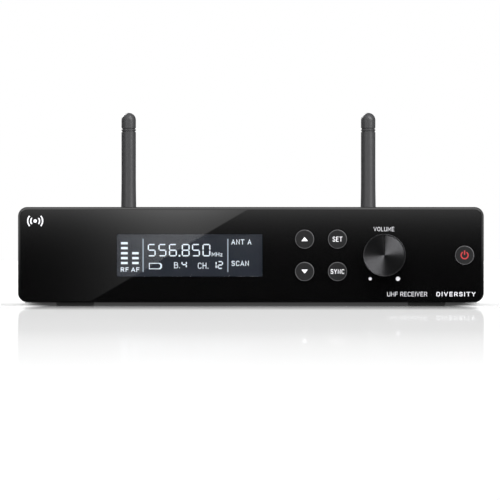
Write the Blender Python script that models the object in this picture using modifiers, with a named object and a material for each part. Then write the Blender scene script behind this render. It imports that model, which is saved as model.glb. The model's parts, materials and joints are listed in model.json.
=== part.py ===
"""A half-width wireless receiver unit with two swivelling rod antennas.

Metres, +Z up, +Y towards the rear, +X to the right as seen from the front.
The origin is the middle of the object's bounding box at the surface it stands on.
"""

import math

import bmesh
import bpy
from mathutils import Matrix

MM = 0.001
GAP = 0.3 * MM  # running and fitting clearance between separate pieces

# The front panel
PANEL_WIDTH = 200 * MM
PANEL_HEIGHT = 40.9 * MM
PANEL_CORNER = 4.4 * MM
PANEL_BASE_Z = 1.6 * MM  # the feet lift the panel's lower edge this far
PANEL_FACE_Y = -76.5 * MM
PANEL_BEVEL = 1.2 * MM
CENTRE_Z = PANEL_BASE_Z + PANEL_HEIGHT / 2
LENS_THICKNESS = 1.9 * MM
FRAME_PLATE = 2.5 * MM
FRAME_DEPTH = 10 * MM
FRAME_WALL = 2 * MM
FRAME_FACE = -(LENS_THICKNESS + GAP)  # depths are measured outwards from the panel face
PLATE_BACK = FRAME_FACE - FRAME_PLATE

# The display
DISPLAY_X = -26.3 * MM
DISPLAY_Z = 21.75 * MM
DISPLAY_WIDTH = 62.4 * MM
DISPLAY_HEIGHT = 18.1 * MM
GLASS_MARGIN = 1.9 * MM
GLASS_THICKNESS = 2 * MM

# The controls on the front
BUTTON_RADIUS = 4.05 * MM
BUTTON_PROUD = 0.8 * MM
BUTTON_COLLAR = 4.9 * MM
BUTTON_COLLAR_THICKNESS = 0.8 * MM
BUTTON_STUD = 1.6 * MM
BUTTON_TRAVEL = 0.5 * MM
BUTTON_PLACES = {
    "up": (23.05 * MM, 28.7 * MM),
    "down": (23.05 * MM, 14.8 * MM),
    "set": (37.15 * MM, 28.7 * MM),
    "sync": (37.15 * MM, 14.8 * MM),
    "power": (91.7 * MM, 21.8 * MM),
}
KNOB_X = 57.1 * MM
KNOB_Z = 21.8 * MM
KNOB_RADIUS = 9.15 * MM
KNOB_BACK = 0.4 * MM
KNOB_FRONT = 11 * MM
KNOB_DISC_RADIUS = 8.3 * MM
SHAFT_RADIUS = 3 * MM
BUSH_RADIUS = 4.5 * MM
NUT_ACROSS_FLATS = 12 * MM

# The case
CASE_WIDTH = 198 * MM
CASE_TOP_Z = 41.7 * MM
CASE_BASE_Z = 2.4 * MM
SHEET = 1 * MM
COVER_BEND = 2 * MM
CASE_FRONT_Y = PANEL_FACE_Y - FRAME_FACE + FRAME_DEPTH + GAP
REAR_FACE_Y = 57.5 * MM
TRAY_WIDTH = CASE_WIDTH - 2 * (SHEET + GAP)
TRAY_TOP_Z = CASE_TOP_Z - SHEET - GAP
LIP_TOP_Z = 12 * MM
FOOT_RADIUS = 8.2 * MM
FOOT_X = 76 * MM
FOOT_Y = {"front": -52 * MM, "rear": 45 * MM}
SCREW_Y = {"front": -40 * MM, "rear": 40 * MM}
SCREW_Z = 8 * MM

# The boards
BOARD_THICKNESS = 1.6 * MM
CONTROL_BOARD_FRONT = -10.1 * MM
MAIN_BOARD_Z = 8 * MM
STANDOFF_X = 84 * MM
STANDOFF_Y = (-48 * MM, 42 * MM)

# The rear panel: depths are measured outwards from the rear wall's outer face
REAR_AXIS_Z = 22 * MM
ANTENNA_X = {"left": -55.2 * MM, "right": 53 * MM}
ANTENNA_AXIS_Z = 24 * MM
XLR_X = -22 * MM
XLR_FLANGE = (26 * MM, 31 * MM)
XLR_BORE = 9.8 * MM
XLR_CUP = 11.5 * MM
XLR_DEPTH = 17.5 * MM
XLR_PIN_CIRCLE = 3.5 * MM
JACK_X = 6 * MM
JACK_BORE = 3.3 * MM
JACK_BUSH = 5.4 * MM
SQUELCH_X = 27 * MM
DC_X = 76 * MM

# The antennas
BARREL_RADIUS = 4.75 * MM
BARREL_BORE = 4.1 * MM
COLLAR_RADIUS = 7.2 * MM
COLLAR_BORE = 5.85 * MM
ELBOW_OUT = 24 * MM  # from the rear wall to the rod's axis
ELBOW_RADIUS = 6 * MM
ROD_RADIUS = 3.15 * MM
ROD_TIP_Z = 86 * MM
RING_Z = (78.8 * MM, 77.6 * MM)
FLARE_TOP_Z = 53.4 * MM

ROUND = 32
SMALL_ROUND = 16
TINY_ROUND = 12

COLOURS = {
    "gloss_black": ((0.012, 0.012, 0.013), 0.08, 0.0),
    "matt_black": ((0.02, 0.02, 0.021), 0.55, 0.0),
    "rubber_black": ((0.018, 0.018, 0.018), 0.8, 0.0),
    "case_black": ((0.025, 0.025, 0.027), 0.5, 0.3),
    "smoked_window": ((0.05, 0.055, 0.07), 0.1, 0.0),
    "display_glass": ((0.1, 0.11, 0.14), 0.15, 0.0),
    "white_plastic": ((0.8, 0.8, 0.78), 0.5, 0.0),
    "button_grey": ((0.04, 0.04, 0.042), 0.5, 0.0),
    "spun_metal": ((0.12, 0.12, 0.125), 0.3, 0.9),
    "nickel": ((0.62, 0.6, 0.56), 0.25, 1.0),
    "steel": ((0.45, 0.45, 0.46), 0.35, 1.0),
    "board_green": ((0.02, 0.12, 0.05), 0.5, 0.0),
    "cable_grey": ((0.4, 0.4, 0.42), 0.6, 0.0),
    "capacitor_blue": ((0.03, 0.06, 0.2), 0.4, 0.2),
}

TO_FRONT = Matrix.Rotation(math.radians(90), 4, "X")  # local +Z points at the viewer, local +Y up
TO_REAR = Matrix.Rotation(math.radians(-90), 4, "X")  # local +Z points away from the rear wall
TO_RIGHT = Matrix.Rotation(math.radians(90), 4, "Y")
TO_LEFT = Matrix.Rotation(math.radians(-90), 4, "Y")
UPRIGHT = Matrix.Identity(4)


def clear_scene():
    for obj in list(bpy.data.objects):
        bpy.data.objects.remove(obj)


def collection(name, hidden=False):
    found = bpy.data.collections.new(name)
    found.hide_render = hidden
    bpy.context.scene.collection.children.link(found)
    return found


clear_scene()
PARTS = collection("wireless_receiver_unit")
CUTTERS = collection("cutters", hidden=True)


def material(name):
    found = bpy.data.materials.get(name)
    if found:
        return found
    colour, roughness, metallic = COLOURS[name]
    made = bpy.data.materials.new(name)
    made.use_nodes = True
    shader = made.node_tree.nodes["Principled BSDF"]
    shader.inputs["Base Color"].default_value = (*colour, 1)
    shader.inputs["Roughness"].default_value = roughness
    shader.inputs["Metallic"].default_value = metallic
    return made


def add(name, mesh, turn=UPRIGHT, at=(0, 0, 0), finish=None):
    """An object of this mesh: a part with a finish, or a cutter without one."""
    obj = bpy.data.objects.new(name, mesh)
    obj.matrix_world = Matrix.Translation(at) @ turn
    if finish:
        PARTS.objects.link(obj)
        mesh.materials.append(material(finish))
    else:
        CUTTERS.objects.link(obj)
        obj.hide_render = True
        obj.display_type = "WIRE"
    return obj


def mesh_from(name, bm):
    mesh = bpy.data.meshes.new(name)
    bmesh.ops.recalc_face_normals(bm, faces=bm.faces)
    bm.to_mesh(mesh)
    bm.free()
    return mesh


def block(name, low, high):
    """A box mesh between two corners."""
    bm = bmesh.new()
    bmesh.ops.create_cube(bm, size=1)
    size = [b - a for a, b in zip(low, high)]
    middle = [(a + b) / 2 for a, b in zip(low, high)]
    bmesh.ops.scale(bm, vec=size, verts=bm.verts)
    bmesh.ops.translate(bm, vec=middle, verts=bm.verts)
    return mesh_from(name, bm)


def disc(name, radius, low, high, sides=ROUND):
    """A cylinder mesh, or a prism with few sides, between two heights on local Z."""
    bm = bmesh.new()
    bmesh.ops.create_cone(
        bm, cap_ends=True, segments=sides, radius1=radius, radius2=radius, depth=high - low
    )
    bmesh.ops.translate(bm, vec=(0, 0, (low + high) / 2), verts=bm.verts)
    return mesh_from(name, bm)


def turned(name, profile, steps=ROUND, ring=False):
    """A turned mesh about local Z. The profile's (radius, height) points run down the outer side."""
    bm = bmesh.new()
    verts = [bm.verts.new((radius, 0, height)) for radius, height in profile]
    for above, below in zip(verts, verts[1:]):
        bm.edges.new((above, below))
    if ring:
        bm.edges.new((verts[-1], verts[0]))
    outline = bpy.data.meshes.new(name + "_profile")
    bm.to_mesh(outline)
    bm.free()
    lathe = bpy.data.objects.new(name + "_lathe", outline)
    CUTTERS.objects.link(lathe)
    screw = lathe.modifiers.new("Screw", "SCREW")
    screw.axis = "Z"
    screw.steps = steps
    screw.render_steps = steps
    screw.use_merge_vertices = True
    screw.merge_threshold = 0.00001
    return settled(lathe, name)


def settled(source, name):
    """The evaluated mesh of a curve or lathe, welded, with the source object removed."""
    graph = bpy.context.evaluated_depsgraph_get()
    mesh = bpy.data.meshes.new_from_object(source.evaluated_get(graph))
    mesh.name = name
    bm = bmesh.new()
    bm.from_mesh(mesh)
    bmesh.ops.remove_doubles(bm, verts=bm.verts, dist=0.000001)
    bm.to_mesh(mesh)
    bm.free()
    bpy.data.objects.remove(source)
    return mesh


def rounded_plate(name, width, height, corner, low, high, arc_steps=6):
    """A flat plate with round corners, centred on local Z, between two heights."""
    points = []
    for quarter, (sx, sy) in enumerate(((1, 1), (-1, 1), (-1, -1), (1, -1))):
        centre = (sx * (width / 2 - corner), sy * (height / 2 - corner))
        for step in range(arc_steps + 1):
            angle = math.radians(90) * (quarter + step / arc_steps)
            points.append(
                (centre[0] + corner * math.cos(angle), centre[1] + corner * math.sin(angle))
            )
    curve = bpy.data.curves.new(name + "_outline", "CURVE")
    curve.dimensions = "2D"
    curve.fill_mode = "BOTH"
    curve.extrude = (high - low) / 2
    spline = curve.splines.new("POLY")
    spline.points.add(len(points) - 1)
    for point, (x, y) in zip(spline.points, points):
        point.co = (x, y, 0, 1)
    spline.use_cyclic_u = True
    outline = bpy.data.objects.new(name + "_outline", curve)
    CUTTERS.objects.link(outline)
    mesh = settled(outline, name)
    mesh.transform(Matrix.Translation((0, 0, (low + high) / 2)))
    return mesh


def bevel_rim(mesh, height, width, segments):
    """Rounds the edges that lie all round the flat face at this height on local Z."""
    bm = bmesh.new()
    bm.from_mesh(mesh)
    level = 0.01 * MM
    rim = [
        edge
        for edge in bm.edges
        if all(abs(vert.co.z - height) < level for vert in edge.verts)
        and abs(edge.calc_face_angle(0)) > math.radians(60)
    ]
    bmesh.ops.bevel(
        bm, geom=rim, offset=width, segments=segments, profile=0.5, affect="EDGES"
    )
    bm.to_mesh(mesh)
    bm.free()
    return mesh


def boolean(target, cutter, operation):
    step = target.modifiers.new(cutter.name, "BOOLEAN")
    step.object = cutter
    step.operation = operation
    step.solver = "EXACT"


def cut(target, name, mesh, turn=UPRIGHT, at=(0, 0, 0)):
    boolean(target, add(name, mesh, turn, at), "DIFFERENCE")


def join(target, name, mesh, turn=UPRIGHT, at=(0, 0, 0)):
    boolean(target, add(name, mesh, turn, at), "UNION")


def smooth(obj, angle=35):
    obj.data.shade_smooth()
    obj.data.set_sharp_from_angle(angle=math.radians(angle))
    return obj


def on_panel(x, z):
    return (x, PANEL_FACE_Y, z)


def on_rear(x, z):
    return (x, REAR_FACE_Y, z)


def hexagon_radius(across_flats):
    return across_flats / math.sqrt(3)


def panel_holes(target, name, low, high):
    """The holes for the five buttons through a plate of the front panel."""
    for key, (x, z) in BUTTON_PLACES.items():
        hole = disc(f"{name}_{key}", BUTTON_RADIUS + GAP, low, high, 24)
        cut(target, f"{name}_{key}", hole, TO_FRONT, on_panel(x, z))


def front_lens():
    sheet = rounded_plate("front_lens", PANEL_WIDTH, PANEL_HEIGHT, PANEL_CORNER, -LENS_THICKNESS, 0)
    bevel_rim(sheet, 0, PANEL_BEVEL, 3)
    lens = add("front_lens", sheet, TO_FRONT, on_panel(0, CENTRE_Z), "gloss_black")
    low = -LENS_THICKNESS - MM
    panel_holes(lens, "lens_hole", low, MM)
    nut_room = hexagon_radius(NUT_ACROSS_FLATS) + GAP
    cut(lens, "lens_knob_hole", disc("lens_knob", nut_room, low, MM), TO_FRONT, on_panel(KNOB_X, KNOB_Z))
    half = (DISPLAY_WIDTH / 2 + GAP, DISPLAY_HEIGHT / 2 + GAP)
    opening = block("lens_window", (-half[0], -half[1], low), (half[0], half[1], MM))
    cut(lens, "lens_window", opening, TO_FRONT, on_panel(DISPLAY_X, DISPLAY_Z))
    smooth(lens)


def display_window():
    half = (DISPLAY_WIDTH / 2, DISPLAY_HEIGHT / 2)
    pane = block("display_window", (-half[0], -half[1], -LENS_THICKNESS), (half[0], half[1], 0))
    add("display_window", pane, TO_FRONT, on_panel(DISPLAY_X, DISPLAY_Z), "smoked_window")


def front_frame():
    back = FRAME_FACE - FRAME_DEPTH
    body = rounded_plate("front_frame", PANEL_WIDTH, PANEL_HEIGHT, PANEL_CORNER, back, FRAME_FACE)
    frame = add("front_frame", body, TO_FRONT, on_panel(0, CENTRE_Z), "matt_black")
    hollow = rounded_plate(
        "frame_hollow",
        PANEL_WIDTH - 2 * FRAME_WALL,
        PANEL_HEIGHT - 2 * FRAME_WALL,
        PANEL_CORNER - FRAME_WALL,
        back - MM,
        PLATE_BACK,
        4,
    )
    cut(frame, "frame_hollow", hollow, TO_FRONT, on_panel(0, CENTRE_Z))
    low = PLATE_BACK - MM
    high = FRAME_FACE + MM
    panel_holes(frame, "frame_hole", low, high)
    bush_hole = disc("frame_bush_hole", BUSH_RADIUS + GAP, low, high, 24)
    cut(frame, "frame_bush_hole", bush_hole, TO_FRONT, on_panel(KNOB_X, KNOB_Z))
    half = (DISPLAY_WIDTH / 2 + GLASS_MARGIN + GAP, DISPLAY_HEIGHT / 2 + GLASS_MARGIN + GAP)
    opening = block("frame_window", (-half[0], -half[1], low), (half[0], half[1], high))
    cut(frame, "frame_window", opening, TO_FRONT, on_panel(DISPLAY_X, DISPLAY_Z))
    smooth(frame)


def display_module():
    half = (DISPLAY_WIDTH / 2 + GLASS_MARGIN, DISPLAY_HEIGHT / 2 + GLASS_MARGIN)
    back = FRAME_FACE - GLASS_THICKNESS
    glass = block("lcd_panel", (-half[0], -half[1], back), (half[0], half[1], FRAME_FACE))
    add("lcd_panel", glass, TO_FRONT, on_panel(DISPLAY_X, DISPLAY_Z), "display_glass")
    half = (half[0] - MM, half[1] - MM)
    low = CONTROL_BOARD_FRONT + GAP
    guide = block("lcd_backlight", (-half[0], -half[1], low), (half[0], half[1], back - GAP))
    add("lcd_backlight", guide, TO_FRONT, on_panel(DISPLAY_X, DISPLAY_Z), "white_plastic")


def button(key):
    """A push button: a round cap with a collar behind the frame that keeps it in."""
    collar_front = PLATE_BACK - GAP
    collar_back = collar_front - BUTTON_COLLAR_THICKNESS
    stud_back = collar_back - GAP
    profile = [
        (0, BUTTON_PROUD),
        (BUTTON_RADIUS - 0.5 * MM, BUTTON_PROUD),
        (BUTTON_RADIUS - 0.12 * MM, BUTTON_PROUD - 0.15 * MM),
        (BUTTON_RADIUS, BUTTON_PROUD - 0.5 * MM),
        (BUTTON_RADIUS, collar_front),
        (BUTTON_COLLAR, collar_front),
        (BUTTON_COLLAR, collar_back),
        (BUTTON_STUD, collar_back),
        (BUTTON_STUD, stud_back),
        (0, stud_back),
    ]
    x, z = BUTTON_PLACES[key]
    mesh = turned(f"button_{key}", profile, 20)
    smooth(add(f"button_{key}", mesh, TO_FRONT, on_panel(x, z), "button_grey"))


def tact_switch(key):
    """The switch on the control board that a button presses, with its plunger clear at rest."""
    x, z = BUTTON_PLACES[key]
    side = 3 * MM
    low = CONTROL_BOARD_FRONT + GAP
    stud_back = PLATE_BACK - BUTTON_COLLAR_THICKNESS - 2 * GAP
    plunger = stud_back - BUTTON_TRAVEL - GAP
    body = block(f"tact_switch_{key}", (-side, -side, low), (side, side, plunger - 0.6 * MM))
    switch = add(f"tact_switch_{key}", body, TO_FRONT, on_panel(x, z), "matt_black")
    stem = disc(f"tact_stem_{key}", 1.7 * MM, low + MM, plunger, TINY_ROUND)
    join(switch, f"tact_stem_{key}", stem, TO_FRONT, on_panel(x, z))


def control_board():
    half = (PANEL_WIDTH / 2 - FRAME_WALL - MM, PANEL_HEIGHT / 2 - FRAME_WALL - 1.5 * MM)
    left = DISPLAY_X - DISPLAY_WIDTH / 2 - 6 * MM
    back = CONTROL_BOARD_FRONT - BOARD_THICKNESS
    board = block("control_board", (left, -half[1], back), (half[0], half[1], CONTROL_BOARD_FRONT))
    add("control_board", board, TO_FRONT, on_panel(0, CENTRE_Z), "board_green")


def volume_control():
    place = on_panel(KNOB_X, KNOB_Z)
    half = 5.5 * MM
    body = block("volume_pot_body", (-half, -half, CONTROL_BOARD_FRONT + GAP), (half, half, PLATE_BACK - GAP))
    pot = add("volume_pot_body", body, TO_FRONT, place, "steel")
    bush = disc("pot_bush", BUSH_RADIUS, PLATE_BACK - MM, -0.1 * MM, 24)
    join(pot, "pot_bush", bush, TO_FRONT, place)
    bore = disc("pot_bore", SHAFT_RADIUS + GAP, CONTROL_BOARD_FRONT + 1.5 * MM, MM, 24)
    cut(pot, "pot_bore", bore, TO_FRONT, place)
    nut_mesh = disc("volume_pot_nut", hexagon_radius(NUT_ACROSS_FLATS), FRAME_FACE + GAP, -0.4 * MM, 6)
    nut = add("volume_pot_nut", nut_mesh, TO_FRONT, place, "nickel")
    nut_bore = disc("pot_nut_bore", BUSH_RADIUS + GAP, FRAME_FACE - MM, MM, 24)
    cut(nut, "pot_nut_bore", nut_bore, TO_FRONT, place)
    shaft_back = CONTROL_BOARD_FRONT + 1.5 * MM + GAP
    shaft_front = KNOB_FRONT - 3 * MM
    chamfer = 0.4 * MM
    shaft = [
        (0, shaft_front),
        (SHAFT_RADIUS - chamfer, shaft_front),
        (SHAFT_RADIUS, shaft_front - chamfer),
        (SHAFT_RADIUS, shaft_back),
        (0, shaft_back),
    ]
    mesh = turned("volume_shaft", shaft, SMALL_ROUND)
    smooth(add("volume_shaft", mesh, TO_FRONT, place, "steel"))


def volume_knob():
    place = on_panel(KNOB_X, KNOB_Z)
    recess = 0.7 * MM
    rim = 0.4 * MM
    bore_end = KNOB_FRONT - 3 * MM + GAP
    profile = [
        (0, KNOB_FRONT - recess),
        (KNOB_DISC_RADIUS + GAP, KNOB_FRONT - recess),
        (KNOB_DISC_RADIUS + GAP, KNOB_FRONT),
        (KNOB_RADIUS - rim, KNOB_FRONT),
        (KNOB_RADIUS, KNOB_FRONT - rim),
        (KNOB_RADIUS, KNOB_BACK),
        (KNOB_RADIUS - 1.4 * MM, KNOB_BACK),
        (KNOB_RADIUS - 1.4 * MM, 3 * MM),
        (5.5 * MM, 3 * MM),
        (5.5 * MM, KNOB_BACK),
        (SHAFT_RADIUS + GAP, KNOB_BACK),
        (SHAFT_RADIUS + GAP, bore_end),
        (0, bore_end),
    ]
    smooth(add("volume_knob", turned("volume_knob", profile, ROUND), TO_FRONT, place, "matt_black"))
    floor = KNOB_FRONT - recess + GAP
    face = disc("knob_face_disc", KNOB_DISC_RADIUS, floor, KNOB_FRONT, ROUND)
    plate = smooth(add("knob_face_disc", face, TO_FRONT, place, "spun_metal"))
    half = 0.3 * MM
    pointer = block(
        "pointer_groove", (-half, 0.5 * MM, KNOB_FRONT - 0.2 * MM), (half, KNOB_RADIUS, KNOB_FRONT + MM)
    )
    cut(plate, "pointer_groove", pointer, TO_FRONT, place)


def chassis_tray():
    """The folded bottom, front flange and rear wall, with low side lips and board standoffs."""
    half = TRAY_WIDTH / 2
    outer = block(
        "chassis_tray", (-half, CASE_FRONT_Y, CASE_BASE_Z), (half, REAR_FACE_Y, TRAY_TOP_Z)
    )
    tray = add("chassis_tray", outer, finish="case_black")
    inner_front = CASE_FRONT_Y + SHEET
    inner_rear = REAR_FACE_Y - SHEET
    above = TRAY_TOP_Z + 5 * MM
    hollow = block(
        "tray_hollow",
        (SHEET - half, inner_front, CASE_BASE_Z + SHEET),
        (half - SHEET, inner_rear, above),
    )
    cut(tray, "tray_hollow", hollow)
    sides = block(
        "tray_sides",
        (-half - 5 * MM, inner_front + 2 * MM, LIP_TOP_Z),
        (half + 5 * MM, inner_rear - 2 * MM, above),
    )
    cut(tray, "tray_sides", sides)
    flange_opening = block(
        "tray_flange_opening",
        (-30 * MM, CASE_FRONT_Y - MM, 10 * MM),
        (30 * MM, inner_front + MM, 34 * MM),
    )
    cut(tray, "tray_flange_opening", flange_opening)
    for side in (-1, 1):
        for y in STANDOFF_Y:
            name = f"standoff_{side}_{round(y / MM)}"
            post = disc(name, 2.5 * MM, CASE_BASE_Z + SHEET / 2, MAIN_BOARD_Z - GAP, TINY_ROUND)
            join(tray, name, post, at=(side * STANDOFF_X, y, 0))
    rear_hole(tray, "xlr_hole", XLR_CUP + GAP, XLR_X, REAR_AXIS_Z, ROUND)
    for side in ANTENNA_X:
        rear_hole(tray, f"bnc_hole_{side}", BARREL_RADIUS + GAP, ANTENNA_X[side], ANTENNA_AXIS_Z)
    rear_hole(tray, "jack_hole", JACK_BUSH + GAP, JACK_X, REAR_AXIS_Z, 24)
    rear_hole(tray, "squelch_hole", 3.7 * MM, SQUELCH_X, REAR_AXIS_Z)
    rear_hole(tray, "dc_hole", 4.2 * MM, DC_X, REAR_AXIS_Z)
    for name, (x, z) in xlr_screw_places().items():
        rear_hole(tray, f"{name}_hole", 1.6 * MM, x, z, TINY_ROUND)
    screw_holes(tray, "tray_screw_hole")


def rear_hole(target, name, radius, x, z, sides=SMALL_ROUND):
    cut(target, name, disc(name, radius, -3 * MM, 3 * MM, sides), TO_REAR, on_rear(x, z))


def screw_holes(target, name):
    """The clearance holes for the case screws, through whatever wall is there."""
    for end, y in SCREW_Y.items():
        for side, sign, turn in (("left", -1, TO_LEFT), ("right", 1, TO_RIGHT)):
            full = f"{name}_{end}_{side}"
            hole = disc(full, 1.8 * MM, -5 * MM, 2 * MM, TINY_ROUND)
            cut(target, full, hole, turn, (sign * CASE_WIDTH / 2, y, SCREW_Z))


def top_cover():
    """The folded top and sides: an open sheet thickened inwards."""
    half = CASE_WIDTH / 2
    outline = [(-half, CASE_BASE_Z)]
    steps = 4
    for start, sign in ((180, -1), (90, 1)):
        for step in range(steps + 1):
            angle = math.radians(start - 90 * step / steps)
            x = sign * (half - COVER_BEND) + COVER_BEND * math.cos(angle)
            z = CASE_TOP_Z - COVER_BEND + COVER_BEND * math.sin(angle)
            outline.append((x, z))
    outline.append((half, CASE_BASE_Z))
    bm = bmesh.new()
    front = [bm.verts.new((x, CASE_FRONT_Y, z)) for x, z in outline]
    rear = [bm.verts.new((x, REAR_FACE_Y, z)) for x, z in outline]
    for index in range(len(outline) - 1):
        bm.faces.new((front[index], front[index + 1], rear[index + 1], rear[index]))
    mesh = bpy.data.meshes.new("top_cover")
    bm.to_mesh(mesh)
    bm.free()
    cover = add("top_cover", mesh, finish="case_black")
    shell = cover.modifiers.new("Sheet", "SOLIDIFY")
    shell.thickness = SHEET
    shell.offset = -1 if mesh.polygons[0].normal.x < 0 else 1
    shell.use_even_offset = True
    screw_holes(cover, "cover_screw_hole")
    smooth(cover)


def case_screws():
    start = GAP
    profile = [
        (0, start + 0.7 * MM),
        (1.9 * MM, start + 0.7 * MM),
        (2.6 * MM, start + 0.3 * MM),
        (2.6 * MM, start),
        (1.4 * MM, start),
        (1.4 * MM, -5 * MM),
        (0, -5 * MM),
    ]
    for end, y in SCREW_Y.items():
        for side, sign, turn in (("left", -1, TO_LEFT), ("right", 1, TO_RIGHT)):
            name = f"case_screw_{end}_{side}"
            place = (sign * CASE_WIDTH / 2, y, SCREW_Z)
            smooth(add(name, turned(name, profile, TINY_ROUND), turn, place, "steel"))


def feet():
    profile = [
        (0, CASE_BASE_Z - GAP),
        (FOOT_RADIUS, CASE_BASE_Z - GAP),
        (FOOT_RADIUS, 0.9 * MM),
        (FOOT_RADIUS - 0.3 * MM, 0.3 * MM),
        (FOOT_RADIUS - 1 * MM, 0),
        (0, 0),
    ]
    for end, y in FOOT_Y.items():
        for side, sign in (("left", -1), ("right", 1)):
            name = f"foot_{end}_{side}"
            place = (sign * FOOT_X, y, 0)
            smooth(add(name, turned(name, profile, 24), at=place, finish="rubber_black"))


def main_board():
    top = MAIN_BOARD_Z + BOARD_THICKNESS
    board = block("main_board", (-92 * MM, -55 * MM, MAIN_BOARD_Z), (92 * MM, 50 * MM, top))
    add("main_board", board, finish="board_green")
    base = top + GAP
    can = block("rf_shield", (-80 * MM, -10 * MM, base), (-36 * MM, 33 * MM, base + 9 * MM))
    shield = add("rf_shield", can, finish="steel")
    wall = 0.6 * MM
    room = block(
        "shield_room",
        (-80 * MM + wall, -10 * MM + wall, base - MM),
        (-36 * MM - wall, 33 * MM - wall, base + 9 * MM - wall),
    )
    cut(shield, "shield_room", room)
    can_profile = [(0, 16 * MM), (4.4 * MM, 16 * MM), (5 * MM, 15.4 * MM), (5 * MM, 0), (0, 0)]
    mesh = turned("filter_capacitor", can_profile, SMALL_ROUND)
    smooth(add("filter_capacitor", mesh, at=(58 * MM, 18 * MM, base), finish="capacitor_blue"))
    package = block("voltage_regulator", (-5 * MM, -2.2 * MM, 0), (5 * MM, 2.2 * MM, 15 * MM))
    add("voltage_regulator", package, at=(76 * MM, 28 * MM, base), finish="matt_black")


def ribbon_cable():
    """A flat cable from the back of the control board down to the main board."""
    start_y = PANEL_FACE_Y - CONTROL_BOARD_FRONT + BOARD_THICKNESS + GAP + 0.3 * MM
    end_z = MAIN_BOARD_Z + BOARD_THICKNESS + GAP + 0.3 * MM
    start_z = 22 * MM
    reach = 14 * MM
    steps = 8
    route = [(start_y, start_z + 6 * MM)]
    for step in range(steps + 1):
        angle = math.radians(90) * step / steps
        route.append(
            (
                start_y + reach * (1 - math.cos(angle)),
                start_z - (start_z - end_z) * math.sin(angle),
            )
        )
    route.append((start_y + reach + 8 * MM, end_z))
    bm = bmesh.new()
    half = 10 * MM
    near = [bm.verts.new((-half, y, z)) for y, z in route]
    far = [bm.verts.new((half, y, z)) for y, z in route]
    for index in range(len(route) - 1):
        bm.faces.new((near[index], near[index + 1], far[index + 1], far[index]))
    mesh = bpy.data.meshes.new("ribbon_cable")
    bm.to_mesh(mesh)
    bm.free()
    cable = add("ribbon_cable", mesh, finish="cable_grey")
    band = cable.modifiers.new("Band", "SOLIDIFY")
    band.thickness = 0.6 * MM
    band.offset = 0


def xlr_screw_places():
    dx = 9.5 * MM
    dz = 12 * MM
    return {
        "xlr_screw_upper": (XLR_X - dx, REAR_AXIS_Z + dz),
        "xlr_screw_lower": (XLR_X + dx, REAR_AXIS_Z - dz),
    }


def xlr_socket():
    """The balanced output: a flanged cup with a moulded insert and three pins."""
    place = on_rear(XLR_X, REAR_AXIS_Z)
    plate_front = GAP + 1.8 * MM
    plate = rounded_plate("xlr_shell", *XLR_FLANGE, 2 * MM, GAP, plate_front, 3)
    shell = add("xlr_shell", plate, TO_REAR, place, "matt_black")
    cup = disc("xlr_cup", XLR_CUP, -XLR_DEPTH, GAP + MM, ROUND)
    join(shell, "xlr_cup", cup, TO_REAR, place)
    bore = disc("xlr_bore", XLR_BORE, MM - XLR_DEPTH, plate_front + MM, ROUND)
    cut(shell, "xlr_bore", bore, TO_REAR, place)
    back_hole = disc("xlr_back_hole", 7 * MM, -XLR_DEPTH - MM, 0, 24)
    cut(shell, "xlr_back_hole", back_hole, TO_REAR, place)
    for name, (x, z) in xlr_screw_places().items():
        rear_hole(shell, f"{name}_clearance", 1.6 * MM, x, z, TINY_ROUND)
    floor = MM - XLR_DEPTH + GAP
    face = floor + 4 * MM
    insert_mesh = disc("xlr_insert", XLR_BORE - GAP, floor, face, 24)
    insert = add("xlr_insert", insert_mesh, TO_REAR, place, "matt_black")
    pin_radius = 1.2 * MM
    pin = [
        (0, -0.5 * MM),
        (0.7 * MM, -0.6 * MM),
        (pin_radius, -1.3 * MM),
        (pin_radius, floor - 3 * MM),
        (0, floor - 3 * MM),
    ]
    for number, angle in enumerate((150, 30, 270), start=1):
        x = XLR_X + XLR_PIN_CIRCLE * math.cos(math.radians(angle))
        z = REAR_AXIS_Z + XLR_PIN_CIRCLE * math.sin(math.radians(angle))
        name = f"xlr_pin_{number}"
        seat = disc(f"{name}_seat", pin_radius + GAP, floor - MM, face + MM, TINY_ROUND)
        cut(insert, f"{name}_seat", seat, TO_REAR, on_rear(x, z))
        smooth(add(name, turned(name, pin, TINY_ROUND), TO_REAR, on_rear(x, z), "nickel"))
    start = plate_front + GAP
    screw = [
        (0, start + 0.9 * MM),
        (1.8 * MM, start + 0.9 * MM),
        (2.6 * MM, start + 0.3 * MM),
        (2.6 * MM, start),
        (1.3 * MM, start),
        (1.3 * MM, -3 * MM),
        (0, -3 * MM),
    ]
    for name, (x, z) in xlr_screw_places().items():
        smooth(add(name, turned(name, screw, TINY_ROUND), TO_REAR, on_rear(x, z), "steel"))


def jack_socket():
    """The unbalanced output: a block behind the wall with a threaded bush and its nut."""
    place = on_rear(JACK_X, REAR_AXIS_Z)
    half = 7.5 * MM
    body = block("jack_body", (-half, -half, -30 * MM), (half, half, -SHEET - GAP))
    jack = add("jack_body", body, TO_REAR, place, "matt_black")
    bush_front = 4.2 * MM
    bush = disc("jack_bush", JACK_BUSH, -2 * MM, bush_front, 24)
    join(jack, "jack_bush", bush, TO_REAR, place)
    bore = disc("jack_bore", JACK_BORE, -27 * MM, bush_front + MM, 24)
    cut(jack, "jack_bore", bore, TO_REAR, place)
    nut_mesh = disc("jack_nut", hexagon_radius(14 * MM), GAP, 2.6 * MM, 6)
    nut = add("jack_nut", nut_mesh, TO_REAR, place, "nickel")
    rear_hole(nut, "jack_nut_bore", JACK_BUSH + GAP, JACK_X, REAR_AXIS_Z, 24)


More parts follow.
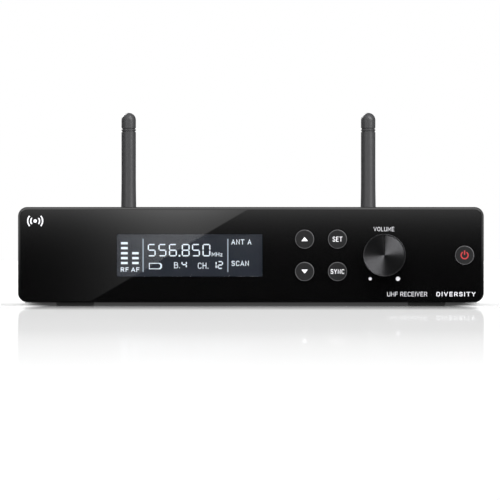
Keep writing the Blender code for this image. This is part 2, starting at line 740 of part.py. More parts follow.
def squelch_control():
    place = on_rear(SQUELCH_X, REAR_AXIS_Z)
    half = 5 * MM
    body = block("squelch_pot_body", (-half, -half, -8 * MM), (half, half, -SHEET - GAP))
    pot = add("squelch_pot_body", body, TO_REAR, place, "steel")
    bush = disc("squelch_bush", 3.4 * MM, -2 * MM, 1.8 * MM, SMALL_ROUND)
    join(pot, "squelch_bush", bush, TO_REAR, place)
    bore = disc("squelch_bore", 2.3 * MM, -6.5 * MM, 3 * MM, SMALL_ROUND)
    cut(pot, "squelch_bore", bore, TO_REAR, place)
    front = 4.5 * MM
    profile = [(0, front), (1.7 * MM, front), (2 * MM, front - 0.3 * MM), (2 * MM, -6.2 * MM), (0, -6.2 * MM)]
    mesh = turned("squelch_shaft", profile, SMALL_ROUND)
    shaft = smooth(add("squelch_shaft", mesh, TO_REAR, place, "matt_black"))
    slot = block("squelch_slot", (-0.4 * MM, -3 * MM, front - 0.9 * MM), (0.4 * MM, 3 * MM, front + MM))
    cut(shaft, "squelch_slot", slot, TO_REAR, place)


def dc_inlet():
    place = on_rear(DC_X, REAR_AXIS_Z)
    body = block("dc_inlet", (-4.5 * MM, -5.5 * MM, -14 * MM), (4.5 * MM, 5.5 * MM, -SHEET - GAP))
    inlet = add("dc_inlet", body, TO_REAR, place, "matt_black")
    nose = disc("dc_nose", 3.9 * MM, -2 * MM, 0.6 * MM, SMALL_ROUND)
    join(inlet, "dc_nose", nose, TO_REAR, place)
    bore = disc("dc_bore", 2.8 * MM, -9 * MM, 2 * MM, SMALL_ROUND)
    cut(inlet, "dc_bore", bore, TO_REAR, place)
    seat = disc("dc_pin_seat", 1.3 * MM, -13 * MM, -8 * MM, TINY_ROUND)
    cut(inlet, "dc_pin_seat", seat, TO_REAR, place)
    pin = [(0, -0.5 * MM), (0.7 * MM, -0.6 * MM), (MM, -1.1 * MM), (MM, -12.7 * MM), (0, -12.7 * MM)]
    smooth(add("dc_inlet_pin", turned("dc_inlet_pin", pin, TINY_ROUND), TO_REAR, place, "nickel"))


def antenna_socket(side):
    """A bayonet socket: inner flange, barrel with two lugs, and a centre post."""
    place = on_rear(ANTENNA_X[side], ANTENNA_AXIS_Z)
    back = -SHEET - GAP
    profile = [
        (0, 9.5 * MM),
        (1.7 * MM, 9.5 * MM),
        (1.7 * MM, 3 * MM),
        (BARREL_BORE, 3 * MM),
        (BARREL_BORE, 11.5 * MM),
        (BARREL_RADIUS, 11.5 * MM),
        (BARREL_RADIUS, back),
        (7 * MM, back),
        (7 * MM, back - MM),
        (2 * MM, back - MM),
        (2 * MM, -7 * MM),
        (0, -7 * MM),
    ]
    name = f"bnc_socket_{side}"
    socket = smooth(add(name, turned(name, profile, SMALL_ROUND), TO_REAR, place, "nickel"))
    lug_at = (place[0], place[1] + 8.5 * MM, place[2])
    for turn, end in ((TO_LEFT, "a"), (TO_RIGHT, "b")):
        lug = disc(f"{name}_lug_{end}", MM, BARREL_BORE + 0.2 * MM, 5.45 * MM, TINY_ROUND)
        join(socket, f"{name}_lug_{end}", lug, turn, lug_at)
    nut_mesh = disc(f"bnc_nut_{side}", hexagon_radius(13 * MM), GAP, 2.3 * MM, 6)
    nut = add(f"bnc_nut_{side}", nut_mesh, TO_REAR, place, "nickel")
    rear_hole(nut, f"bnc_nut_bore_{side}", BARREL_RADIUS + GAP, ANTENNA_X[side], ANTENNA_AXIS_Z)


def bayonet_collar(side):
    """The locking collar: a sleeve over the socket with an end wall round the plug's neck."""
    wall_in = 12.9 * MM
    wall_out = 13.9 * MM
    profile = [
        (4.3 * MM, wall_out),
        (COLLAR_RADIUS - 0.4 * MM, wall_out),
        (COLLAR_RADIUS, wall_out - 0.4 * MM),
        (COLLAR_RADIUS, 4 * MM),
        (COLLAR_RADIUS - 0.7 * MM, 4 * MM),
        (COLLAR_RADIUS - 0.7 * MM, 2.9 * MM),
        (COLLAR_BORE, 2.9 * MM),
        (COLLAR_BORE, wall_in),
        (4.3 * MM, wall_in),
    ]
    name = f"bnc_collar_{side}"
    place = on_rear(ANTENNA_X[side], ANTENNA_AXIS_Z)
    smooth(add(name, turned(name, profile, 24, ring=True), TO_REAR, place, "nickel"))


def antenna_plug(side):
    """The metal plug: a sleeve in the socket's bore, a flange in the collar, and a neck."""
    profile = [
        (0, 19.5 * MM),
        (2.5 * MM, 19.5 * MM),
        (2.5 * MM, 13.9 * MM),
        (4 * MM, 13.9 * MM),
        (4 * MM, 12.6 * MM),
        (5.5 * MM, 12.6 * MM),
        (5.5 * MM, 11.8 * MM),
        (3.7 * MM, 11.8 * MM),
        (3.7 * MM, 3.6 * MM),
        (2.2 * MM, 3.6 * MM),
        (2.2 * MM, 10 * MM),
        (0, 10 * MM),
    ]
    name = f"antenna_plug_{side}"
    place = on_rear(ANTENNA_X[side], ANTENNA_AXIS_Z)
    smooth(add(name, turned(name, profile, SMALL_ROUND), TO_REAR, place, "nickel"))


def antenna_rod(side):
    """The rubber-covered rod and its elbow, with a hole in the elbow for the plug's tail."""
    axis = on_rear(ANTENNA_X[side], ANTENNA_AXIS_Z)
    profile = []
    tip_steps = 4
    for step in range(tip_steps):
        angle = math.radians(90) * step / tip_steps
        profile.append(
            (ROD_RADIUS * math.sin(angle), ROD_TIP_Z - ROD_RADIUS * (1 - math.cos(angle)))
        )
    profile.append((ROD_RADIUS, ROD_TIP_Z - ROD_RADIUS))
    groove = 0.25 * MM
    for middle in RING_Z:
        profile.append((ROD_RADIUS, middle + groove))
        profile.append((ROD_RADIUS - groove, middle))
        profile.append((ROD_RADIUS, middle - groove))
    profile += [
        (ROD_RADIUS, FLARE_TOP_Z),
        (3.35 * MM, 43.5 * MM),
        (3.9 * MM, 36 * MM),
        (5.2 * MM, 32 * MM),
        (ELBOW_RADIUS, 29 * MM),
        (ELBOW_RADIUS, 18.7 * MM),
        (ELBOW_RADIUS - 0.4 * MM, 17.9 * MM),
        (ELBOW_RADIUS - 1.2 * MM, 17.5 * MM),
        (0, 17.5 * MM),
    ]
    mesh = turned(f"antenna_rod_{side}", profile, SMALL_ROUND)
    mesh.transform(Matrix.Translation((0, ELBOW_OUT, -ANTENNA_AXIS_Z)))
    rod = smooth(add(f"antenna_rod_{side}", mesh, at=axis, finish="rubber_black"))
    arm = disc(f"elbow_arm_{side}", 5.7 * MM, 14.2 * MM, ELBOW_OUT, SMALL_ROUND)
    join(rod, f"elbow_arm_{side}", arm, TO_REAR, axis)
    hole = disc(f"elbow_hole_{side}", 2.8 * MM, 13 * MM, 19.8 * MM, SMALL_ROUND)
    cut(rod, f"elbow_hole_{side}", hole, TO_REAR, axis)


front_lens()
display_window()
front_frame()
display_module()
for button_key in BUTTON_PLACES:
    button(button_key)
    tact_switch(button_key)
control_board()
volume_control()
volume_knob()
chassis_tray()
top_cover()
case_screws()
feet()
main_board()
ribbon_cable()
xlr_socket()
jack_socket()
squelch_control()
dc_inlet()
for antenna_side in ANTENNA_X:
    antenna_socket(antenna_side)
    bayonet_collar(antenna_side)
    antenna_plug(antenna_side)
    antenna_rod(antenna_side)
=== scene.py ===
"""The looks of the wireless receiver unit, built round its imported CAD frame.

Places are in metres in the row frame: +Z up, the front panel facing -Y. A piece's own outlines, profiles and
depths are in millimetres, which the mesh tools turn into metres.
"""

import json
import math

import bmesh
import bpy
from mathutils import Matrix, Vector


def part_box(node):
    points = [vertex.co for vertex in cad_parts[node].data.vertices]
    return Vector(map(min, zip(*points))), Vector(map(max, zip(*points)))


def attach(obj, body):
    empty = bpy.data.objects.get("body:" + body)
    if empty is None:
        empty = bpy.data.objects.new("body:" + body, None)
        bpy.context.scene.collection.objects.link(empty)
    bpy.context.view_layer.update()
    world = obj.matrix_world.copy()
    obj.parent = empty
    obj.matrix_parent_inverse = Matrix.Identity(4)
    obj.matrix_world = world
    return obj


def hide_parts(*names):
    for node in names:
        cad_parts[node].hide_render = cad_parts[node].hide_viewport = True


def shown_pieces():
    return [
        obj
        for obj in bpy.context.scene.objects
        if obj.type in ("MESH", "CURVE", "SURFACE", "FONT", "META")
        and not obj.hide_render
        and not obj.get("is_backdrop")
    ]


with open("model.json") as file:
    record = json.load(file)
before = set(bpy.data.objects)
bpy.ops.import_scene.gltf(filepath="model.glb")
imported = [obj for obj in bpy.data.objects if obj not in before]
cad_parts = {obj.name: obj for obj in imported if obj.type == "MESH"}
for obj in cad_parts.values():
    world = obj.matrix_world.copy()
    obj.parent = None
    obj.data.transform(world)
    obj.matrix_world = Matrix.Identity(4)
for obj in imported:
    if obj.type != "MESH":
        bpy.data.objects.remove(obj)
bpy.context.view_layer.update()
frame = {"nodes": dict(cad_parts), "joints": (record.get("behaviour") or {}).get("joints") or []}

MM = 0.001
SIDES = {"left": -1, "right": 1}
ENDS = ("front", "rear")
BUTTONS = ("up", "down", "set", "sync", "power")
FINE, MEDIUM, SMALL = 96, 64, 40  # sides of round pieces
SHEET = 1.0  # thickness of the case's sheet metal


def turned(degrees, axis):
    return Matrix.Rotation(math.radians(degrees), 4, axis)


UPRIGHT = Matrix.Identity(4)
TO_FRONT = turned(90, "X")  # local +Z points at the viewer, local +Y up
TO_REAR = turned(-90, "X")  # local +Z points away from the rear wall
TO_SIDE = {"left": turned(-90, "Y"), "right": turned(90, "Y")}
ORIGIN = Vector((0, 0, 0))

PANEL_LOW, PANEL_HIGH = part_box("front_lens")
FACE_Y = PANEL_LOW.y
REAR_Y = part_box("chassis_tray")[1].y
PANEL_MIDDLE = Vector((0, FACE_Y, (PANEL_LOW.z + PANEL_HIGH.z) / 2))
PANEL_CORNER = 4.0


def middle(node):
    low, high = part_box(node)
    return (low + high) / 2


def axis_point(joint_name):
    return next(Vector(joint["pos_m"]) for joint in frame["joints"] if joint["name"] == joint_name)


def half_size(node):
    """Half of a CAD node's width and half of its height, in millimetres."""
    low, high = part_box(node)
    return (high.x - low.x) / 2 / MM, (high.z - low.z) / 2 / MM


def front_depths(node):
    """A CAD node's back and front in millimetres before the panel's face."""
    low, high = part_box(node)
    return (FACE_Y - high.y) / MM, (FACE_Y - low.y) / MM


def rear_depths(node):
    """A CAD node's inner and outer end in millimetres behind the rear wall."""
    low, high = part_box(node)
    return (low.y - REAR_Y) / MM, (high.y - REAR_Y) / MM


def on_panel(point):
    return Vector((point.x, FACE_Y, point.z))


def on_rear(point):
    return Vector((point.x, REAR_Y, point.z))


# ---------------------------------------------------------------- materials

class Nodes:
    """A material's or a world's node tree, emptied, with short ways to add to it."""

    def __init__(self, owner):
        owner.use_nodes = True
        self.tree = owner.node_tree
        self.tree.nodes.clear()

    def add(self, kind, **inputs):
        node = self.tree.nodes.new(f"ShaderNode{kind}")
        for name, value in inputs.items():
            self.give(node.inputs[name.replace("_", " ")], value)
        return node

    def give(self, socket, value):
        if isinstance(value, bpy.types.NodeSocket):
            self.tree.links.new(value, socket)
        else:
            socket.default_value = value

    def place(self):
        return self.add("TexCoord").outputs["Object"]

    def apart(self, vector):
        return self.add("SeparateXYZ", Vector=vector).outputs

    def calculate(self, operation, *values):
        node = self.add("Math")
        node.operation = operation
        for socket, value in zip(node.inputs, values):
            self.give(socket, value)
        return node.outputs["Value"]

    def times(self, first, second):
        return self.calculate("MULTIPLY", first, second)

    def slope(self, source, start, end, low, high, kind="SMOOTHSTEP"):
        """low up to start, then a rise or fall to high at end."""
        node = self.add("MapRange", Value=source, From_Min=start, From_Max=end, To_Min=low, To_Max=high)
        node.interpolation_type = kind
        return node.outputs["Result"]

    def noise(self, scale, detail=3.0):
        """A noise over the object's own coordinates, in features per metre."""
        return self.add("TexNoise", Scale=scale, Detail=detail, Vector=self.place()).outputs["Fac"]

    def tones(self, factor, first, second):
        node = self.add("Mix")
        node.data_type = "RGBA"
        for name, value in (("A", (*first, 1)), ("B", (*second, 1)), ("Factor", factor)):
            self.give(node.inputs[name], value)
        return node.outputs["Result"]

    def bump(self, height, depth, strength=1.0):
        return self.add("Bump", Height=height, Distance=depth * MM, Strength=strength).outputs["Normal"]

    def glow(self, strength=1.0):
        return self.add("Emission", Strength=strength).outputs["Emission"]

    def clear(self):
        return self.add("BsdfTransparent").outputs["BSDF"]

    def both(self, kind, first, second, **inputs):
        """A node that takes two shaders, which are its last two inputs."""
        node = self.add(kind, **inputs)
        self.give(node.inputs[-2], first)
        self.give(node.inputs[-1], second)
        return node.outputs["Shader"]

    def mix(self, factor, first, second):
        return self.both("MixShader", first, second, Fac=factor)

    def end(self, shader, kind="OutputMaterial"):
        self.add(kind, Surface=shader)


FINISHES = {}


def grey(tone):
    return (tone, tone, tone * 1.04)


def finish(name, dark, light, rough, mottle=220, grain=None, **sockets):
    """A procedural material: two tones over a slow mottle, a roughness that wanders, and a fine grain.

    rough is (lowest, highest), grain is (features per metre, bump depth), and sockets are the shader's own.
    """
    FINISHES[name] = bpy.data.materials.new(name)
    nodes = Nodes(FINISHES[name])
    shader = nodes.add("BsdfPrincipled", **{"IOR": 1.5, **sockets})
    nodes.give(shader.inputs["Base Color"], nodes.tones(nodes.noise(mottle), dark, light))
    wander = nodes.slope(nodes.noise(mottle * 2.7), 0, 1, *rough, "LINEAR")
    nodes.give(shader.inputs["Roughness"], wander)
    if grain:
        scale, depth = grain
        nodes.give(shader.inputs["Normal"], nodes.bump(nodes.noise(scale, 2.0), depth))
    nodes.end(shader.outputs["BSDF"])
    return nodes, shader.inputs


def metal(name, dark, light, rough, mottle, grain):
    finish(name, dark, light, rough, mottle, grain, Metallic=1.0)


def glowing(name, colour, strength, variation=0.06, base=(0.01, 0.015)):
    """A glowing surface whose brightness wanders a little, as a light guide's does: real backlight on the
    display, and painted glow on the white print and the red power mark, which are no lamps.
    """
    low = tuple(channel * (1 - variation) for channel in colour)
    nodes, inputs = finish(name, grey(base[0]), grey(base[1]), (0.3, 0.4), Specular_IOR_Level=0.2)
    nodes.give(inputs["Emission Color"], nodes.tones(nodes.noise(40), low, colour))
    inputs["Emission Strength"].default_value = strength


def spun_metal(name, dark, light, rough):
    """Metal turned on a lathe: fine rings round local Z, which stretch highlights into wedges."""
    nodes, inputs = finish(
        name, dark, light, rough, 900, Metallic=1.0, Anisotropic=0.9, Anisotropic_Rotation=0.25
    )
    tangent = nodes.add("Tangent")
    tangent.direction_type = "RADIAL"
    tangent.axis = "Z"
    nodes.give(inputs["Tangent"], tangent.outputs["Tangent"])
    rings = nodes.add("TexWave", Scale=900, Distortion=1.5, Detail=2, Vector=nodes.place())
    rings.wave_type = "RINGS"
    rings.rings_direction = "Z"
    nodes.give(inputs["Normal"], nodes.bump(rings.outputs["Fac"], 0.004, 0.5))


def circuit_board(name):
    """Green solder mask with paler copper runs under it."""
    mask = (0.01, 0.07, 0.03)
    nodes, inputs = finish(name, mask, (0.015, 0.11, 0.045), (0.3, 0.45), 90, (900, 0.02))
    runs = nodes.add(
        "TexBrick", Scale=160, Mortar_Size=0.06, Color1=(*mask, 1), Color2=(0.012, 0.09, 0.035, 1),
        Mortar=(0.05, 0.2, 0.08, 1), Vector=nodes.place(),
    )
    nodes.give(inputs["Base Color"], runs.outputs["Color"])


def ribbed_cable(name):
    """Grey flat cable with one stripe for each conductor across local X."""
    nodes, inputs = finish(name, (0.3, 0.3, 0.32), (0.4, 0.4, 0.42), (0.45, 0.6), 400)
    stripes = nodes.add("TexWave", Scale=250, Vector=nodes.place())
    stripes.bands_direction = "X"
    nodes.give(inputs["Normal"], nodes.bump(stripes.outputs["Fac"], 0.1))


finish("panel_acrylic", grey(0.0015), grey(0.002), (0.0, 0.02), 60)
finish(
    "window_acrylic", (0.86, 0.88, 0.92), (0.9, 0.92, 0.95), (0.0, 0.012), IOR=1.47, Transmission_Weight=1.0
)
finish("moulded_black", grey(0.012), grey(0.017), (0.48, 0.6), grain=(2600, 0.05))
finish("powder_coat", grey(0.024), grey(0.03), (0.42, 0.55), 120, (1700, 0.09))
finish("foot_rubber", grey(0.012), grey(0.02), (0.65, 0.8), 500, (2200, 0.06))
finish("rod_rubber", grey(0.027), grey(0.034), (0.32, 0.38), 350, (1500, 0.02), Specular_IOR_Level=0.4)
finish("button_plastic", grey(0.0065), grey(0.0085), (0.45, 0.55), 600, (4200, 0.02), Specular_IOR_Level=0.25)
# a lighter copy of the button plastic for the caps' rims: painted highlight
finish("button_bevel_painted_highlight", grey(0.075), grey(0.085), (0.4, 0.5), 600, (4200, 0.02))
finish("pointer_black", grey(0.003), grey(0.005), (0.6, 0.7), 900, Specular_IOR_Level=0.1)
finish("light_guide", (0.7, 0.7, 0.68), (0.8, 0.8, 0.78), (0.35, 0.5), 200, (900, 0.03))
finish(
    "blue_sleeve", (0.02, 0.045, 0.15), (0.03, 0.06, 0.2), (0.25, 0.4), 300,
    Coat_Weight=0.3, Coat_Roughness=0.05,
)
metal("knob_rim", grey(0.09), grey(0.11), (0.25, 0.32), 700, (3000, 0.01))
# a lighter copy of the knob's metal for the edge of its face: painted highlight
metal("knob_bevel_painted_highlight", grey(0.2), grey(0.24), (0.3, 0.4), 700, (3000, 0.01))
metal("nickel", (0.5, 0.48, 0.44), (0.64, 0.62, 0.58), (0.14, 0.3), 450, (2400, 0.01))
metal("zinc", (0.34, 0.34, 0.35), (0.5, 0.5, 0.5), (0.28, 0.45), 700, (2000, 0.02))
metal("black_zinc", grey(0.03), grey(0.06), (0.3, 0.45), 800, (2400, 0.02))
spun_metal("knob_spun", grey(0.135), grey(0.165), (0.4, 0.46))
# the white print also glows a little: painted light, so that it stays white in the knob's shadow
glowing("white_print_with_painted_glow", grey(0.14), 1.0, base=(0.62, 0.7))
# the red power mark glows: painted light, as the mark is no lamp
glowing("red_power_mark_painted_glow", (0.8, 0.05, 0.055), 0.85)
glowing("lcd_ground", (0.004, 0.007, 0.014), 1.0, 0.1)
glowing("lcd_lit", (0.9, 0.97, 1.0), 1.2, 0.04)
glowing("lcd_line", (0.4, 0.47, 0.52), 1.0, 0.04)
circuit_board("circuit_board")
ribbed_cable("flat_cable")


# ---------------------------------------------------------------- mesh tools

def loose(mesh, name="loose"):
    obj = bpy.data.objects.new(name, mesh)
    bpy.context.scene.collection.objects.link(obj)
    return obj


def piece(name, mesh, turn, at, look, replaced=None, body="housing", slot=None, angle=32):
    """A finished piece: its mesh placed, shaded, given its look, and riding on its CAD body."""
    mesh.name = name
    obj = loose(mesh, name)
    obj.matrix_world = Matrix.Translation(at) @ turn
    mesh.materials.clear()
    mesh.materials.append(FINISHES[look])
    mesh.shade_smooth()
    mesh.set_sharp_from_angle(angle=math.radians(angle))
    flatten = obj.modifiers.new("Weighted normals", "WEIGHTED_NORMAL")
    flatten.keep_sharp = True
    flatten.weight = 100
    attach(obj, body)
    if replaced:
        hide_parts(replaced)
    return obj


def mesh_from(bm):
    mesh = bpy.data.meshes.new("mesh")
    bmesh.ops.recalc_face_normals(bm, faces=bm.faces)
    bm.to_mesh(mesh)
    bm.free()
    return mesh


def lathe(profile, sides=MEDIUM, ring=False):
    """A turned solid about local Z. profile is a list of (radius, height); a ring's profile closes."""
    bm = bmesh.new()
    poles = [None if radius else bm.verts.new((0, 0, height * MM)) for radius, height in profile]
    columns = []
    for step in range(sides):
        angle = math.tau * step / sides
        across, up = math.cos(angle) * MM, math.sin(angle) * MM
        columns.append([
            pole or bm.verts.new((radius * across, radius * up, height * MM))
            for pole, (radius, height) in zip(poles, profile)
        ])
    for before, here in zip(columns[-1:] + columns, columns):
        for index in range(0 if ring else 1, len(profile)):
            corners = dict.fromkeys([before[index - 1], before[index], here[index], here[index - 1]])
            if len(corners) > 2:
                bm.faces.new(list(corners))
    return mesh_from(bm)


def arc(centre, radius, start, end, steps):
    """Points on a round stretch of an outline or a profile, angles in degrees."""
    points = []
    for step in range(steps + 1):
        angle = math.radians(start + (end - start) * step / steps)
        points.append((centre[0] + radius * math.cos(angle), centre[1] + radius * math.sin(angle)))
    return points


def stack(bm, layers):
    """One solid through outlines of as many points each, one above the other: (height, outline)."""
    rows = []
    for height, outline in layers:
        rows.append([bm.verts.new((x * MM, y * MM, height * MM)) for x, y in outline])
    bm.faces.new(rows[0][::-1])
    bm.faces.new(rows[-1])
    for lower, upper in zip(rows, rows[1:]):
        for index in range(len(lower)):
            bm.faces.new((lower[index - 1], lower[index], upper[index], upper[index - 1]))


def prisms(outlines, low, high):
    """Separate flat outlines made solid between two heights, in one mesh."""
    bm = bmesh.new()
    for outline in outlines:
        stack(bm, [(low, outline), (high, outline)])
    return mesh_from(bm)


def prism(outline, low, high):
    return prisms([outline], low, high)


def rectangle(left, bottom, right, top):
    return [(left, bottom), (right, bottom), (right, top), (left, top)]


def centred(half_width, half_height):
    return rectangle(-half_width, -half_height, half_width, half_height)


def rounded(half_width, half_height, corner):
    outline = []
    for turn, (sx, sy) in enumerate(((1, 1), (-1, 1), (-1, -1), (1, -1))):
        centre = (sx * (half_width - corner), sy * (half_height - corner))
        outline += arc(centre, corner, 90 * turn, 90 * turn + 90, 12)
    return outline


def polygon(radius, sides, start=0.0, at=(0, 0)):
    points = []
    for step in range(sides):
        angle = math.radians(start) + math.tau * step / sides
        points.append((at[0] + radius * math.cos(angle), at[1] + radius * math.sin(angle)))
    return points


def cylinder(radius, low, high, sides=MEDIUM, at=(0, 0)):
    return prism(polygon(radius, sides, at=at), low, high)


def shaped(mesh, *steps):
    """A mesh after cuts, additions and bevels, in turn. All the meshes share one local frame.

    A step is ("cut", "add" or "keep", then meshes) or ("bevel", width, segments, least angle).
    """
    operations = {"cut": "DIFFERENCE", "add": "UNION", "keep": "INTERSECT"}
    obj = loose(mesh)
    helpers = []
    for word, *details in steps:
        if word == "bevel":
            edge = obj.modifiers.new("Bevel", "BEVEL")
            edge.width = details[0] * MM
            edge.segments = details[1]
            edge.limit_method = "ANGLE"
            edge.angle_limit = math.radians(details[2])
            edge.use_clamp_overlap = True
            continue
        for other in details:
            helper = loose(other)
            change = obj.modifiers.new("Boolean", "BOOLEAN")
            change.object = helper
            change.operation = operations[word]
            change.solver = "EXACT"
            helpers.append(helper)
    bpy.context.view_layer.update()
    graph = bpy.context.evaluated_depsgraph_get()
    made = bpy.data.meshes.new_from_object(obj.evaluated_get(graph))
    for helper in [obj] + helpers:
        bpy.data.objects.remove(helper)
    return made


def moved(mesh, matrix):
    mesh.transform(matrix)
    return mesh


# Each letter is its width and then its pen strokes, as points in a box as high as a capital.
STEM = ((0, 0), (0, 1))
LETTERS = {
    "A": (0.66, ((0, 0), (0.33, 1), (0.66, 0)), ((0.11, 0.32), (0.55, 0.32))),
    "B": (0.56, STEM, ((0, 1), (0.53, 1), (0.53, 0.54), (0, 0.54)),
          ((0.2, 0.54), (0.58, 0.54), (0.58, 0), (0, 0))),
    "C": (0.58, ((0.58, 0.84), (0.5, 1), (0, 1), (0, 0), (0.5, 0), (0.58, 0.16))),
    "D": (0.62, STEM, ((0, 1), (0.62, 1), (0.62, 0), (0, 0))),
    "E": (0.5, ((0.5, 1), (0, 1), (0, 0), (0.5, 0)), ((0, 0.52), (0.43, 0.52))),
    "F": (0.48, ((0.48, 1), (0, 1), (0, 0)), ((0, 0.52), (0.42, 0.52))),
    "H": (0.6, STEM, ((0.6, 0), (0.6, 1)), ((0, 0.52), (0.6, 0.52))),
    "I": (0.0, STEM),
    "L": (0.46, ((0, 1), (0, 0), (0.46, 0))),
    "M": (0.74, ((0, 0), (0, 1), (0.37, 0.3), (0.74, 1), (0.74, 0))),
    "N": (0.6, ((0, 0), (0, 1), (0.6, 0), (0.6, 1))),
    "O": (0.66, ((0, 0), (0, 1), (0.66, 1), (0.66, 0))),
    "R": (0.56, STEM, ((0, 1), (0.56, 1), (0.56, 0.46), (0, 0.46)), ((0.28, 0.46), (0.58, 0))),
    "S": (0.54, ((0.53, 0.86), (0.42, 1), (0, 1), (0, 0.56), (0.54, 0.5), (0.54, 0), (0.1, 0), (0, 0.15))),
    "T": (0.6, ((0, 1), (0.6, 1)), ((0.3, 1), (0.3, 0))),
    "U": (0.6, ((0, 1), (0, 0.3), (0, 0), (0.6, 0), (0.6, 0.3), (0.6, 1))),
    "V": (0.64, ((0, 1), (0.32, 0), (0.64, 1))),
    "Y": (0.62, ((0, 1), (0.31, 0.45), (0.62, 1)), ((0.31, 0.45), (0.31, 0))),
    "z": (0.42, ((0, 0.64), (0.42, 0.64), (0, 0), (0.42, 0))),
    ".": (0.0, ((0, 0), (0, 0.06))),
    " ": (0.1,),
}
ROUND_LETTERS = "BCDORSU"  # the corners of their longer strokes are rounded off
CLOSED_LETTERS = "O"  # their strokes end where they start


def rounded_off(points, closed):
    """Corner cutting, three times over, with an open line's ends kept."""
    for _ in range(3):
        cut = []
        for (x0, y0), (x1, y1) in zip(points, points[1:] + points[:1] if closed else points[1:]):
            cut.append((x0 * 0.75 + x1 * 0.25, y0 * 0.75 + y1 * 0.25))
            cut.append((x0 * 0.25 + x1 * 0.75, y0 * 0.25 + y1 * 0.75))
        points = cut if closed else [points[0]] + cut + [points[-1]]
    return points


def ribbon(bm, points, closed, width, low, high):
    """A line of constant width made solid, with mitred corners. All in metres."""
    line = [Vector(point) for point in points]
    leaving = [(after - here).normalized() for here, after in zip(line, line[1:] + line[:1])]
    if not closed:
        leaving[-1] = leaving[-2]
        line[0] -= leaving[0] * width / 2
        line[-1] += leaving[-1] * width / 2
    rows = [[], [], [], []]
    for index, here in enumerate(line):
        leave = leaving[index]
        arrive = leaving[index - 1] if closed or index else leave
        across = (arrive + leave).orthogonal().normalized()
        reach = across * (width / 2 / max(0.5, across.dot(leave.orthogonal())))
        corners = ((here + reach, low), (here + reach, high), (here - reach, high), (here - reach, low))
        for row, (point, height) in zip(rows, corners):
            row.append(bm.verts.new((point.x, point.y, height)))
    for index in range(0 if closed else 1, len(line)):
        for first, second in zip(rows, rows[1:] + rows[:1]):
            bm.faces.new((first[index - 1], first[index], second[index], second[index - 1]))
    if not closed:
        for index in (0, -1):
            bm.faces.new([row[index] for row in rows])


def lettering(words, left, bottom, width, height, low, high, pen):
    """Raised flat lettering: capitals of this height on local Y, filling this width on local X."""
    inner_height = height - pen
    base = bottom + pen / 2
    at = left + pen / 2
    spans = [LETTERS[letter][0] for letter in words]
    gaps = len(words) - 1
    least_gap = pen + 0.2 * height
    stretch = min(1.32 * inner_height, (width - pen - gaps * least_gap) / sum(spans))
    gap = (width - pen - stretch * sum(spans)) / gaps
    bm = bmesh.new()
    for letter in words:
        span, *strokes = LETTERS[letter]
        closed = letter in CLOSED_LETTERS
        for points in strokes:
            if letter in ROUND_LETTERS and len(points) > 2:
                points = rounded_off(list(points), closed)
            placed = [((at + x * stretch) * MM, (base + y * inner_height) * MM) for x, y in points]
            ribbon(bm, placed, closed, pen * MM, low * MM, high * MM)
        at += span * stretch + gap
    return mesh_from(bm)


# ---------------------------------------------------------------- front panel

PRINT_DEPTH = 0.03
OPENING_REACH = 1.0  # how far a cut runs past what it cuts


def flat_on_panel(node):
    """A node's middle on local X and Y, in a piece centred on the panel."""
    point = middle(node)
    return (point.x - PANEL_MIDDLE.x) / MM, (point.z - PANEL_MIDDLE.z) / MM


def button_radius(key):
    """The cap's radius: the CAD button's collar is wider than its cap by this much."""
    return half_size(f"button_{key}")[0] - 0.85


def panel_openings(low, high, clearance, knob_radius, window, slack):
    """Cutters for the buttons, the knob's bush and a rectangle round one node of the display."""
    holes = []
    for key in BUTTONS:
        holes.append(cylinder(button_radius(key) + clearance, low, high, at=flat_on_panel(f"button_{key}")))
    sides = MEDIUM if knob_radius > 5 else SMALL
    holes.append(cylinder(knob_radius, low, high, sides, flat_on_panel("volume_knob")))
    x, y = flat_on_panel(window)
    half_x, half_y = half_size(window)
    opening = rectangle(x - half_x - slack, y - half_y - slack, x + half_x + slack, y + half_y + slack)
    holes.append(prism(opening, low, high))
    return holes


def build_panel():
    half_x, half_y = half_size("front_lens")
    thick = (PANEL_HIGH.y - PANEL_LOW.y) / MM
    fillet = 1.2
    steps = 7
    layers = []
    for step in range(steps + 1):
        angle = math.radians(90) * step / steps
        inset = fillet * (1 - math.cos(angle))
        outline = rounded(half_x - inset, half_y - inset, PANEL_CORNER - inset)
        # the lower edge is rolled less than the others
        outline = [(x, y - 0.65 * inset if y < 0 else y) for x, y in outline]
        layers.append((-fillet * (1 - math.sin(angle)), outline))
    bm = bmesh.new()
    stack(bm, [(-thick, layers[0][1])] + layers)
    cutters = panel_openings(-thick - 1, OPENING_REACH, 0.2, 7.3, "display_window", 0.02)
    mesh = shaped(mesh_from(bm), ("cut", *cutters))
    piece("front_panel", mesh, TO_FRONT, PANEL_MIDDLE, "panel_acrylic", "front_lens")


def build_window():
    low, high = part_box("display_window")
    pane = prism(centred(*half_size("display_window")), (low.y - high.y) / MM, 0)
    mesh = shaped(pane, ("bevel", 0.03, 2, 30))
    place = on_panel(middle("display_window"))
    piece("window_pane", mesh, TO_FRONT, place, "window_acrylic", "display_window")


def build_bezel():
    half_x, half_y = half_size("front_frame")
    back, front = front_depths("front_frame")
    wall = 2.0
    plate_back = front - 2.5
    body = prism(rounded(half_x, half_y, PANEL_CORNER), back, front)
    hollow = prism(rounded(half_x - wall, half_y - wall, PANEL_CORNER - wall), back - 1, plate_back)
    openings = panel_openings(plate_back - 1, front + OPENING_REACH, 0.3, 4.8, "lcd_panel", 0.3)
    mesh = shaped(body, ("cut", hollow, *openings), ("bevel", 0.2, 2, 50))
    piece("front_bezel", mesh, TO_FRONT, PANEL_MIDDLE, "moulded_black", "front_frame")


def panel_print(name, mesh, point):
    # the print's look glows a little: painted light on ink that is no lamp
    piece(name, mesh, TO_FRONT, on_panel(point), "white_print_with_painted_glow", angle=80)


